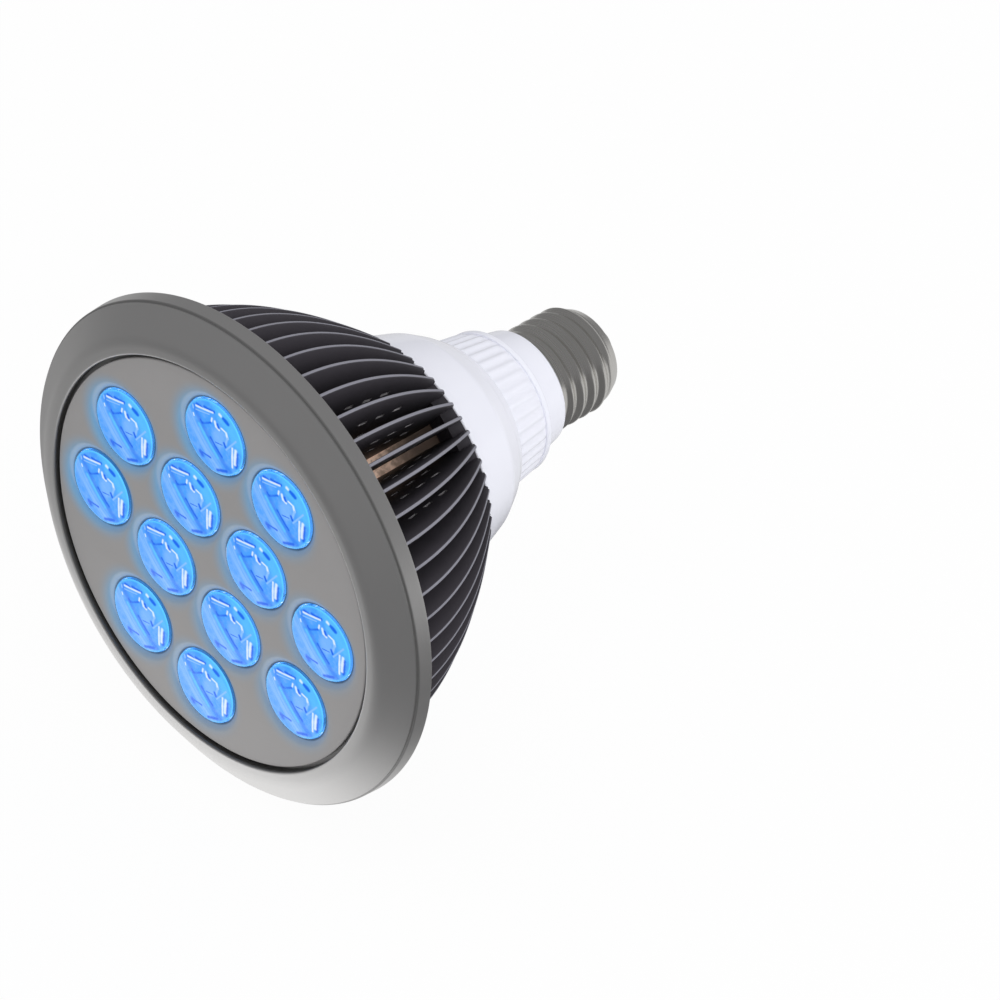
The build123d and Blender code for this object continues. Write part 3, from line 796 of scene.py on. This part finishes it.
def fin_coat(colours):
    """Black coat of the fins, with painted shade towards the core and pale outer edges that are bare metal
    and partly a painted highlight, over a rough cast core with painted light and a painted glow near its
    front.
    """
    finish = new_finish("fin_black")
    spot, (x, y, z) = finish.place()
    radius = distance(x, z)
    share = (y - FIN_FRONT) / (SINK_END - FIN_FRONT)
    # Bare metal along the outer edges, partly a painted highlight of their rounding.
    edge = finish.ramp(radius - fin_edge(share), -0.12 * MM, -0.04 * MM)
    grain = finish.noise(spot, 1500.0, 3.0)
    rough = finish.noise(spot, 700.0, 4.0)
    # Painted shade: the coat darkens towards the core, between the fins.
    depth = finish.ramp(radius, TUBE_R, FIN_R)
    dark = finish.mix(depth, toned(colours.fin, 0.6), colours.fin)
    coat = finish.mix(grain * 0.3, dark, toned(colours.fin, 1.4))
    coat = finish.mix(edge * 0.9, coat, colours.fin_edge)
    base_back = SKIRT_END + BASE_T
    # Painted light on the core near its front, fading to painted shade further back, with a painted glow
    # where it is lit.
    painted_light_share = 1.0 - finish.ramp(y, base_back + LIT_FULL, base_back + LIT_END)
    speckle = finish.ramp(rough, 0.35, 0.65)
    bright = finish.mix(speckle, toned(colours.core, 0.55), colours.core)
    core = finish.mix(painted_light_share, toned(colours.core, 0.22), bright)
    at_core = 1.0 - finish.ramp(radius, TUBE_R + 0.1 * MM, TUBE_R + 0.5 * MM)
    glint = finish.mix(speckle, toned(colours.core, 0.18), toned(colours.core, 0.55))
    return finish.close({
        "Base Color": finish.mix(at_core, coat, core),
        "Roughness": 0.5 + grain * 0.15,
        "Specular IOR Level": 0.25,
        "Normal": finish.bump(rough, 0.06, 0.0002),
        "Emission Color": finish.mix(at_core * painted_light_share, BLACK, glint),
        "Emission Strength": 1.0,
    })


def glossy_plastic(colours):
    """Glossy moulded plastic with a faint unevenness in its gloss."""
    finish = new_finish("housing_white")
    spot, _ = finish.place()
    cloud = finish.noise(spot, 60.0, 2.0)
    tone = finish.mix(cloud * 0.4, colours.housing, toned(colours.housing, 0.96))
    return finish.close({
        "Base Color": tone,
        "Roughness": 0.2 + cloud * 0.08,
        "Coat Weight": 0.3,
        "Coat Roughness": 0.08,
    })


def plated_metal(name, colour, roughness):
    """Plated sheet metal with fine drawing lines round the axis."""
    finish = new_finish(name)
    spot, (_, y, _) = finish.place()
    lines = finish.noise(finish.add("CombineXYZ", inputs={"Y": y * 30.0}), 90.0, 3.0)
    cloud = finish.noise(spot, 120.0, 3.0)
    tone = finish.mix(cloud * 0.6, colour, toned(colour, 0.8))
    return finish.close({
        "Base Color": tone,
        "Metallic": 1.0,
        "Roughness": roughness + lines * 0.12,
        "Normal": finish.bump(lines, 0.05, 0.0001),
    })


def moulded(name, colour, roughness=0.45, scale=500.0):
    """Plain moulded or coated surface with a fine mottled grain."""
    finish = new_finish(name)
    spot, _ = finish.place()
    grain = finish.noise(spot, scale, 3.0)
    tone = finish.mix(grain, toned(colour, 0.85), toned(colour, 1.15))
    return finish.close({
        "Base Color": tone,
        "Roughness": roughness + grain * 0.1,
        "Normal": finish.bump(grain, 0.05, 0.0001),
    })


class BULB_OT_bezel(bpy.types.Operator):
    """Satin bezel: a ring turned from its section, with a rounded lip, sloped face, step and rim band"""

    bl_idname = "bulb.bezel"
    bl_label = "Bezel"

    def execute(self, context):
        sizes = context.scene.bulb_sizes
        bore = RIM_R - sizes.bezel_width
        ledge = bore - LEDGE_WIDTH
        skirt = bore - SKIRT_SETBACK
        step = RIM_R - sizes.step_rise
        slope_end = LIP + sizes.face_drop
        band = slope_end + sizes.step_depth
        band_end = LIP + sizes.band_end
        ledge_back = PLATE_BACK + LEDGE_T
        small = sizes.edge_round
        section = [
            (ledge, PLATE_BACK, 0),
            (bore, PLATE_BACK, 0),
            (bore, LIP, sizes.lip_round),
            (bore + sizes.lip_width, LIP, sizes.crest_round),
            (step, slope_end, small),
            (step, band, small / 3),
            (RIM_R - sizes.band_flare, band, small),
            (RIM_R, band_end, small / 2),
            (RIM_R - RING_WALL, band_end, small / 2),
            (RIM_R - RING_WALL - sizes.band_flare, band + RING_WALL, 0),
            (skirt, ledge_back, 0),
            (skirt, SKIRT_END, 0),
            (skirt - RING_WALL, SKIRT_END, 0),
            (skirt - RING_WALL, ledge_back, 0),
            (ledge, ledge_back, 0),
        ]
        outline = smooth_section(section, step=0.5 * MM)
        piece = turned_piece("bezel", *outline.T, BEZEL_STEPS)
        satin = satin_metal(context.scene.bulb_colours, band, bore)
        stand_in(piece, ["bezel_ring"], "bezel_satin", satin)
        return {"FINISHED"}


class BULB_OT_plate(bpy.types.Operator):
    """Face plate: a round sheet whose holes are dished, the dish falling as half a cosine wave"""

    bl_idname = "bulb.plate"
    bl_label = "Face plate"

    def execute(self, context):
        sizes = context.scene.bulb_sizes
        hole = LENS_FLANGE_R - LENS_FLANGE + LENS_CLEARANCE
        share = np.linspace(0, 1, 10)
        fall = (1 - np.cos(math.pi * share)) / 2
        hole_inset = np.append(sizes.dish_width * (1 - share), 0.0)
        hole_depth = np.append(PLATE_FRONT + sizes.dish_depth * fall, PLATE_BACK)
        turn = share * math.pi / 2
        edge_inset = np.append(sizes.edge_round * (1 - np.sin(turn)), 0.0)
        edge_depth = np.append(PLATE_FRONT + sizes.edge_round * (1 - np.cos(turn)), PLATE_BACK)
        loops = [circle(PLATE_R, PLATE_STEPS)]
        loops += [circle(hole, HOLE_STEPS, centre, forward=False) for centre in LENS_PLACES]
        profiles = [np.stack([edge_inset, edge_depth], axis=-1)]
        profiles += [np.stack([hole_inset, hole_depth], axis=-1)] * len(LENS_PLACES)
        points, faces, _ = sheet_with_edges(loops, profiles)
        piece = make_piece("plate", points[:, [0, 2, 1]], faces)
        stand_in(piece, ["face_plate"], "plate_grey", plate_coat(context.scene.bulb_colours, hole))
        return {"FINISHED"}


class BULB_OT_lenses(bpy.types.Operator):
    """Lenses: each turned about its own axis, with a crowned clear face, a flange and a lit film inside"""

    bl_idname = "bulb.lenses"
    bl_label = "Lenses"

    def execute(self, context):
        sizes = context.scene.bulb_sizes
        face = LENS_TIP + sizes.lens_crown
        radius = LENS_FLANGE_R - LENS_FLANGE
        flange_back = PLATE_BACK + LENS_FLANGE_T
        share = np.linspace(0, 1, 12)[:, None]
        crown = np.hstack([radius * share, LENS_TIP + sizes.lens_crown * share ** 2])
        start = np.array([[radius, flange_back]])
        end = np.array([[LENS_FOOT_R, LENS_FOOT]])
        bulge = 4 * LENS_BULGE * share * (1 - share)
        side = start + (end - start) * share + bulge * np.array([[1.0, 0.0]])
        corners = [
            crown[-2],
            (radius, face),
            (radius, PLATE_BACK),
            (LENS_FLANGE_R, PLATE_BACK),
            (LENS_FLANGE_R, flange_back),
            side[0],
        ]
        flange = rounded(corners, [0, sizes.lens_edge, 0, 0, 0, 0])
        pocket_top = LENS_FOOT - LENS_POCKET_DEPTH
        pocket = np.array([(LENS_POCKET_R, LENS_FOOT), (LENS_POCKET_R, pocket_top), (0.0, pocket_top)])
        outline = np.vstack([crown[:-2], flange, side[1:], pocket])
        film = crown * np.array([1 - FILM_INSET / radius, 1.0]) + np.array([0.0, FILM_DEPTH])
        quads = grid_quads(len(outline), LENS_STEPS).tolist()
        colours = context.scene.bulb_colours
        finishes = (lens_clear(colours, radius), lens_glow(colours))
        shell = revolved(*outline.T, LENS_STEPS)
        light = revolved(*film.T, LENS_STEPS)
        quads += (grid_quads(len(film), LENS_STEPS) + len(shell)).tolist()
        for node, place in zip(LENS_NODES, LENS_PLACES):
            points = np.vstack([shell, light]) + np.array([place[0], 0.0, place[1]])
            piece = make_piece(node.replace("lens", "clear_lens"), points, quads)
            self.paint(piece.data, place, radius, film[-1, 1])
            stand_in(piece, [node], "lens_clear", *finishes)
        return {"FINISHED"}

    def paint(self, mesh, place, radius, film_edge):
        """Maps the lens's front view to a UV map in millimetres and gives its film the second finish."""
        spots = np.empty(len(mesh.vertices) * 3)
        mesh.vertices.foreach_get("co", spots)
        spots = spots.reshape(-1, 3)
        corner = np.empty(len(mesh.loops), int)
        mesh.loops.foreach_get("vertex_index", corner)
        flat = (spots[:, [0, 2]] - place) / MM
        layer = mesh.uv_layers.new(name="face")
        layer.data.foreach_set("uv", flat[corner].ravel())
        centres = np.empty(len(mesh.polygons) * 3)
        mesh.polygons.foreach_get("center", centres)
        centres = centres.reshape(-1, 3)
        away = np.hypot(centres[:, 0] - place[0], centres[:, 2] - place[1])
        film_y = film_edge - (film_edge - LENS_TIP - FILM_DEPTH) * (1 - (away / (radius - FILM_INSET)) ** 2)
        lit = (np.abs(centres[:, 1] - film_y) < FILM_DEPTH / 3) & (away < radius - FILM_INSET)
        mesh.polygons.foreach_set("material_index", lit.astype(np.int32))


class BULB_OT_diodes(bpy.types.Operator):
    """Diodes behind the lenses, their board and its screws"""

    bl_idname = "bulb.diodes"
    bl_label = "Diodes and board"

    def execute(self, context):
        dress(DIODE_NODES, diode_finish(context.scene.bulb_colours))
        dress(["led_board"], moulded("board_white", srgb(235, 236, 238), 0.35))
        dress(["board_screws", "housing_screws"], plated_metal("screw_steel", srgb(170, 170, 172), 0.3))
        return {"FINISHED"}


class BULB_OT_heat_sink(bpy.types.Operator):
    """Heat sink: a turned core and a ring of thin fins, each a sheet cut to a curve with rounded edges"""

    bl_idname = "bulb.heat_sink"
    bl_label = "Heat sink"

    def execute(self, context):
        sizes = context.scene.bulb_sizes
        skirt = RIM_R - sizes.bezel_width - SKIRT_SETBACK
        core_points, core_faces = self.core(skirt)
        fin_points, fin_faces, owners = self.fin(sizes, skirt)
        angles = FIN_PHASE + np.arange(sizes.fin_count) * 2 * math.pi / sizes.fin_count
        reach, side, depth = fin_points[:, 0], fin_points[:, 2], fin_points[:, 1]
        cos, sin = np.cos(angles)[:, None], np.sin(angles)[:, None]
        across = reach * cos - side * sin
        along = np.broadcast_to(depth, across.shape)
        around = np.stack([across, along, reach * sin + side * cos], axis=-1)
        faces = list(core_faces)
        for number in range(sizes.fin_count):
            first = len(core_points) + number * len(fin_points)
            faces += [[first + corner for corner in face] for face in fin_faces]
        points = np.vstack([core_points, around.reshape(-1, 3)])
        piece = make_piece("fins", points, faces)
        cut = np.append(np.zeros(len(core_faces), np.int32), np.tile(owners > 0, sizes.fin_count))
        piece.data.polygons.foreach_set("material_index", cut.astype(np.int32))
        colours = context.scene.bulb_colours
        bare = moulded("fin_cut", colours.fin_cut, 0.5)
        stand_in(piece, ["heat_sink"], "fin_black", fin_coat(colours), bare)
        return {"FINISHED"}

    def core(self, skirt):
        """Base disc, tube and rear ring as one turned section."""
        spigot = skirt - RING_WALL
        base_back = SKIRT_END + BASE_T
        ring_front = SINK_END - REAR_RING_T
        outline = np.array([
            (WIRE_HOLE_R, BOARD_BACK),
            (spigot, BOARD_BACK),
            (spigot, SKIRT_END),
            (skirt, SKIRT_END),
            (skirt, base_back),
            (TUBE_R, base_back),
            (TUBE_R, ring_front),
            (REAR_RING_R, ring_front),
            (REAR_RING_R, SINK_END),
            (TUBE_R - TUBE_WALL, SINK_END),
            (TUBE_R - TUBE_WALL, base_back),
            (WIRE_HOLE_R, base_back),
        ])
        outline = spread(outline, 4.0 * MM)
        points = revolved(*outline.T, CORE_STEPS)
        return points, grid_quads(len(outline), CORE_STEPS, wrap_rows=True).tolist()

    def fin(self, sizes, skirt):
        """One fin as (radius, y, side): its outer edge is fin_edge's curve, and slots are punched in rows."""
        share = np.linspace(0, 1, FIN_STEPS)
        along = FIN_FRONT + (SINK_END - FIN_FRONT) * share
        edge_r = fin_edge(share)
        notch = SINK_END - NOTCH_L
        edge = np.stack([edge_r, along], axis=-1)[along < notch]
        notch_r = FIN_REAR_R - NOTCH_H
        root = TUBE_R - FIN_ROOT
        base = skirt - FIN_ROOT
        base_back = SKIRT_END + BASE_T - FIN_ROOT
        inner = np.array([
            (np.interp(notch, along, edge_r), notch),
            (notch_r, notch),
            (notch_r, SINK_END),
            (root, SINK_END),
            (root, base_back),
            (base, base_back),
            (base, SKIRT_END + FIN_ROOT),
            (skirt + FIN_ROOT, SKIRT_END + FIN_ROOT),
            (skirt + FIN_ROOT, FIN_FRONT),
        ])
        outline = spread(np.vstack([edge, inner]), 3.0 * MM)
        half = sizes.fin_thickness / 2
        turn = np.linspace(0, math.pi / 2, 4)
        inset = sizes.fin_round * (1 - np.sin(turn))
        height = half - sizes.fin_round * (1 - np.cos(turn))
        profile = np.stack([np.append(inset, inset[::-1]), np.append(height, -height[::-1])], axis=-1)
        slots = self.slots(LIP + sizes.band_end + SLOT_START)
        slot_edge = profile * np.array([SLOT_EDGE, 1.0])
        loops = [outline] + slots
        return sheet_with_edges(loops, [profile] + [slot_edge] * len(slots))

    def slots(self, front):
        """Outlines of the punched slots in rows that fall towards the rear; the first lies at front."""
        lean = math.atan(SLOT_FALL)
        corner = np.array([(-SLOT_W, -SLOT_L), (-SLOT_W, SLOT_L), (SLOT_W, SLOT_L), (SLOT_W, -SLOT_L)]) / 2
        turned = np.array([[math.cos(lean), math.sin(lean)], [-math.sin(lean), math.cos(lean)]])
        slots = []
        for row in range(SLOT_ROWS):
            for number in range(SLOTS_IN_ROW):
                along = (number + row / SLOT_ROWS) * SLOT_STEP
                radius = SLOT_R - along * SLOT_FALL - row * SLOT_ROW_GAP
                slots.append(corner @ turned + np.array([radius, front + along]))
        return slots


class BULB_OT_housing(bpy.types.Operator):
    """White housing: a turned bell collar and neck, whose radius rises by a rounded wave at each rib"""

    bl_idname = "bulb.housing"
    bl_label = "Housing"

    def execute(self, context):
        sizes = context.scene.bulb_sizes
        sleeve = TUBE_R - TUBE_WALL - SLEEVE_CLEARANCE
        collar_end = SINK_END + sizes.collar_length
        neck_end = collar_end + sizes.neck_length
        ribs_end = neck_end - sizes.neck_lip
        bend = SINK_END + BEND_DEPTH
        waist = collar_end - sizes.shoulder_length
        wall_back = SINK_END + HOUSING_WALL
        spigot_bore = SPIGOT_R - SPIGOT_WALL
        small = sizes.edge_round
        section = [
            (sleeve - SLEEVE_WALL, SLEEVE_FRONT, 0),
            (sleeve, SLEEVE_FRONT, 0),
            (sleeve, SINK_END, 0),
            (COLLAR_R, SINK_END, small),
            (BEND_R, bend, sizes.shoulder_round),
            (WAIST_R, waist, sizes.shoulder_round),
            (COLLAR_END_R, collar_end, small),
            (NECK_R, collar_end, 0),
            (NECK_END_R, ribs_end, 0),
            (NECK_LIP_R, ribs_end, small),
            (NECK_LIP_R, neck_end, small),
            (TAIL_R, neck_end, 0),
            (SEAT_R, SEAT, small),
            (SPIGOT_R, SEAT, 0),
            (SPIGOT_R, SPIGOT_END, 0),
            (spigot_bore, SPIGOT_END, 0),
            (spigot_bore, neck_end, 0),
            (NECK_END_R - HOUSING_WALL, neck_end - HOUSING_WALL, 0),
            (NECK_R - HOUSING_WALL, collar_end - HOUSING_WALL, 0),
            (WAIST_R - HOUSING_WALL, waist - HOUSING_WALL, 0),
            (BEND_R - HOUSING_WALL, bend - HOUSING_WALL, 0),
            (COLLAR_R - HOUSING_WALL, wall_back, 0),
            (sleeve - SLEEVE_WALL, wall_back, 0),
        ]
        radius, depth = smooth_section(section, step=1.2 * MM).T
        steps = sizes.rib_count * RIB_STEPS
        angle = np.linspace(0, 2 * math.pi, steps, endpoint=False)
        wave = (1 + np.cos(sizes.rib_count * angle)) / 2
        ribbed = (depth > collar_end) & (depth < ribs_end) & (radius > RIB_LEAST_R)
        grown = radius[:, None] + ribbed[:, None] * wave[None] * sizes.rib_height
        piece = turned_piece("housing", grown, depth, steps)
        stand_in(piece, ["neck_housing"], "housing_white", glossy_plastic(context.scene.bulb_colours))
        return {"FINISHED"}


class BULB_OT_screw_cap(bpy.types.Operator):
    """Screw cap: rolled thread, r = root + depth (1 + cos(2 pi y / pitch + a)) / 2, plug and contact"""

    bl_idname = "bulb.screw_cap"
    bl_label = "Screw cap"

    def execute(self, context):
        colours = context.scene.bulb_colours
        self.shell(context.scene.bulb_sizes, colours)
        plug_r = MOUTH_R - PLUG_CLEARANCE
        plug = [
            (STEM_R, PLUG_FRONT, 0),
            (plug_r, PLUG_FRONT, 0),
            (plug_r, SHELL_END, 0),
            (PLUG_END_R, PLUG_END, PLUG_ROUND),
            (STEM_R, PLUG_END, 0),
        ]
        piece = turned_piece("cap_plug", *smooth_section(plug, step=0.6 * MM).T, PLUG_STEPS)
        stand_in(piece, ["cap_insulator"], "cap_black", moulded("cap_black", colours.plug, 0.25))
        button = [
            (0.0, STEM_END, 0),
            (STEM_R, STEM_END, 0),
            (STEM_R, PLUG_END, 0),
            (CONTACT_R, PLUG_END, 0),
            (CONTACT_R, CONTACT_END, CONTACT_ROUND),
            (0.0, CONTACT_END, 0),
        ]
        piece = turned_piece("end_contact", *smooth_section(button, step=0.6 * MM).T, CONTACT_STEPS)
        stand_in(piece, ["centre_contact"], "contact_tin", plated_metal("contact_tin", colours.contact, 0.35))
        return {"FINISHED"}

    def shell(self, sizes, colours):
        """The threaded shell: its outer wall carries the thread, and its inner wall follows inside that."""
        root = THREAD_R - sizes.thread_depth
        bend = SHELL_END - SHOULDER_L
        outer = rounded(
            [(root, SEAT), (root, bend), (MOUTH_R + SHELL_WALL, SHELL_END), (MOUTH_R, SHELL_END)],
            [0, SHOULDER_ROUND, MOUTH_ROUND, 0])
        outer = spread(outer, 0.25 * MM, closed=False)
        angle = np.linspace(0, 2 * math.pi, SHELL_STEPS, endpoint=False)
        depth = outer[:, 1]
        along = depth - SEAT - THREAD_FIRST
        phase = 2 * math.pi * along[:, None] / sizes.thread_pitch + angle[None]
        ramp_in = np.clip((depth - SEAT - sizes.thread_start) / THREAD_FADE_IN, 0, 1)
        ramp_out = np.clip((bend - depth) / THREAD_FADE_OUT, 0, 1)
        fade = (ramp_in * ramp_out) ** 2 * (3 - 2 * ramp_in * ramp_out)
        thread = sizes.thread_depth * fade[:, None] * (1 + np.cos(phase)) / 2
        outside = outer[:, 0][:, None] + thread
        inside = outside[::-1] - SHELL_WALL
        inside[0] = MOUTH_R
        radius = np.vstack([outside, inside])
        depths = np.append(depth, depth[::-1])
        piece = turned_piece("cap_shell", radius, depths, SHELL_STEPS)
        stand_in(piece, ["screw_shell"], "cap_nickel", plated_metal("cap_nickel", colours.cap, 0.22))


class BULB_OT_driver(bpy.types.Operator):
    """Driver parts and leads inside the housing"""

    bl_idname = "bulb.driver"
    bl_label = "Driver"

    def execute(self, context):
        dress(["driver_board"], moulded("driver_green", srgb(30, 92, 58), 0.4, 900.0))
        dress(["transformer"], moulded("coil_yellow", srgb(205, 168, 60), 0.5))
        dress(["filter_capacitor", "rectifier"], moulded("can_black", srgb(34, 34, 38), 0.35))
        dress(["led_lead_positive", "cap_lead_contact"], moulded("lead_red", srgb(180, 36, 32), 0.4))
        dress(["led_lead_negative", "cap_lead_shell"], moulded("lead_black", srgb(32, 32, 34), 0.4))
        return {"FINISHED"}


class BULB_OT_stage(bpy.types.Operator):
    """Pale floor, soft light, white surroundings and the camera"""

    bl_idname = "bulb.stage"
    bl_label = "Stage"

    def execute(self, context):
        self.floor()
        self.surroundings(context.scene)
        for lamp in LAMPS:
            self.lamp(*lamp)
        self.camera(context.scene)
        context.scene.view_settings.view_transform = "Standard"
        return {"FINISHED"}

    def floor(self):
        """A wide flat floor: white to the camera apart from the bulb's shadow, and toned to metal."""
        z = CAD_BOX[0].z - FLOOR_DROP
        corners = [(x * FLOOR_HALF, y * FLOOR_HALF, z) for x, y in ((-1, -1), (1, -1), (1, 1), (-1, 1))]
        mesh = bpy.data.meshes.new("floor")
        mesh.from_pydata(corners, [], [(0, 1, 2, 3)])
        floor = bpy.data.objects.new("floor", mesh)
        bpy.context.scene.collection.objects.link(floor)
        finish = new_finish("floor_white")
        _, (x, y, _) = finish.place()
        matt = finish.add("BsdfDiffuse", inputs={"Color": (0.9, 0.9, 0.9)})
        pool = 1.0 - finish.ramp(distance((x - POOL_X) * POOL_STRETCH, y - POOL_Y), POOL_FULL, POOL_END)
        left = finish.ramp(-1.0 * x, *LEFT_ACROSS) * finish.ramp(y, *LEFT_FRONT) * finish.ramp(y, *LEFT_BACK)
        mirrored = finish.mix(left, MIRRORED_ROOM, MIRRORED_LEFT)
        mirrored = finish.mix(finish.ramp(y, *REAR_ALONG), mirrored, MIRRORED_REAR)
        mirrored = finish.mix(pool, mirrored, WHITE)
        white, share = self.seen_white(finish, mirrored)
        shine = finish.add("Emission", inputs={"Color": white, "Strength": 1.0})
        lit = share * FLOOR_SHINE + (1.0 - share) * pool * POOL_LIGHT
        surface = finish.add("MixShader", inputs={0: lit, 1: matt, 2: shine})
        finish.add("OutputMaterial", inputs={"Surface": surface})
        floor.data.materials.append(finish.owner)

    def seen_white(self, finish, mirrored):
        """White to the camera and clear plastic or a tone to metal, and 1 for each of these rays."""
        camera, glossy, clear = [finish.add("LightPath", output=name) for name in SEEING_RAYS]
        return finish.mix(glossy, WHITE, mirrored), (camera + glossy + clear).below(1.0)

    def surroundings(self, scene):
        """A soft even light, white to the camera and dim in mirrored light."""
        world = bpy.data.worlds.new("surroundings")
        scene.world = world
        finish = Finish(world)
        white, share = self.seen_white(finish, MIRRORED_SKY)
        tone = finish.mix(share, SOFT_LIGHT, white)
        shade = finish.add("Background", inputs={"Color": tone, "Strength": 1.0})
        finish.add("OutputWorld", inputs={"Surface": shade})

    def lamp(self, name, place, size, watts):
        """A square soft light that faces the bulb and that metal doesn't mirror."""
        light = bpy.data.lights.new(name, "AREA")
        light.size = size
        light.energy = watts
        lamp = bpy.data.objects.new(name, light)
        lamp.location = place
        lamp.visible_glossy = False
        lamp.rotation_euler = (-Vector(place)).to_track_quat("-Z", "Y").to_euler()
        bpy.context.scene.collection.objects.link(lamp)

    def camera(self, scene):
        """The camera at the photograph's viewing angle."""
        data = bpy.data.cameras.new("camera")
        data.lens = CAMERA_LENS
        data.clip_end = 20.0
        camera = bpy.data.objects.new("camera", data)
        camera.location = CAMERA_PLACE
        camera.rotation_euler = CAMERA_AIM.to_track_quat("-Z", "Y").to_euler()
        scene.collection.objects.link(camera)
        scene.camera = camera


OPERATORS = (
    BULB_OT_bezel,
    BULB_OT_plate,
    BULB_OT_lenses,
    BULB_OT_diodes,
    BULB_OT_heat_sink,
    BULB_OT_housing,
    BULB_OT_screw_cap,
    BULB_OT_driver,
    BULB_OT_stage,
)


class BULB_PT_panel(bpy.types.Panel):
    """Lists the steps that dress the bulb"""

    bl_idname = "BULB_PT_panel"
    bl_label = "Light therapy bulb"
    bl_space_type = "VIEW_3D"
    bl_region_type = "UI"
    bl_category = "Bulb"

    def draw(self, context):
        for operator in OPERATORS:
            self.layout.operator(operator.bl_idname)


CLASSES = (BulbSizes, BulbColours, *OPERATORS, BULB_PT_panel)


def register():
    """Registers the classes and puts the bulb's settings on the scene."""
    for item in CLASSES:
        bpy.utils.register_class(item)
    bpy.types.Scene.bulb_sizes = bpy.props.PointerProperty(type=BulbSizes)
    bpy.types.Scene.bulb_colours = bpy.props.PointerProperty(type=BulbColours)


def unregister():
    """Takes away what register added."""
    del bpy.types.Scene.bulb_colours
    del bpy.types.Scene.bulb_sizes
    for item in reversed(CLASSES):
        bpy.utils.unregister_class(item)


def main():
    """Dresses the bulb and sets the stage."""
    register()
    for operator in OPERATORS:
        group, name = operator.bl_idname.split(".")
        getattr(getattr(bpy.ops, group), name)()


if __name__ == "__main__":
    main()
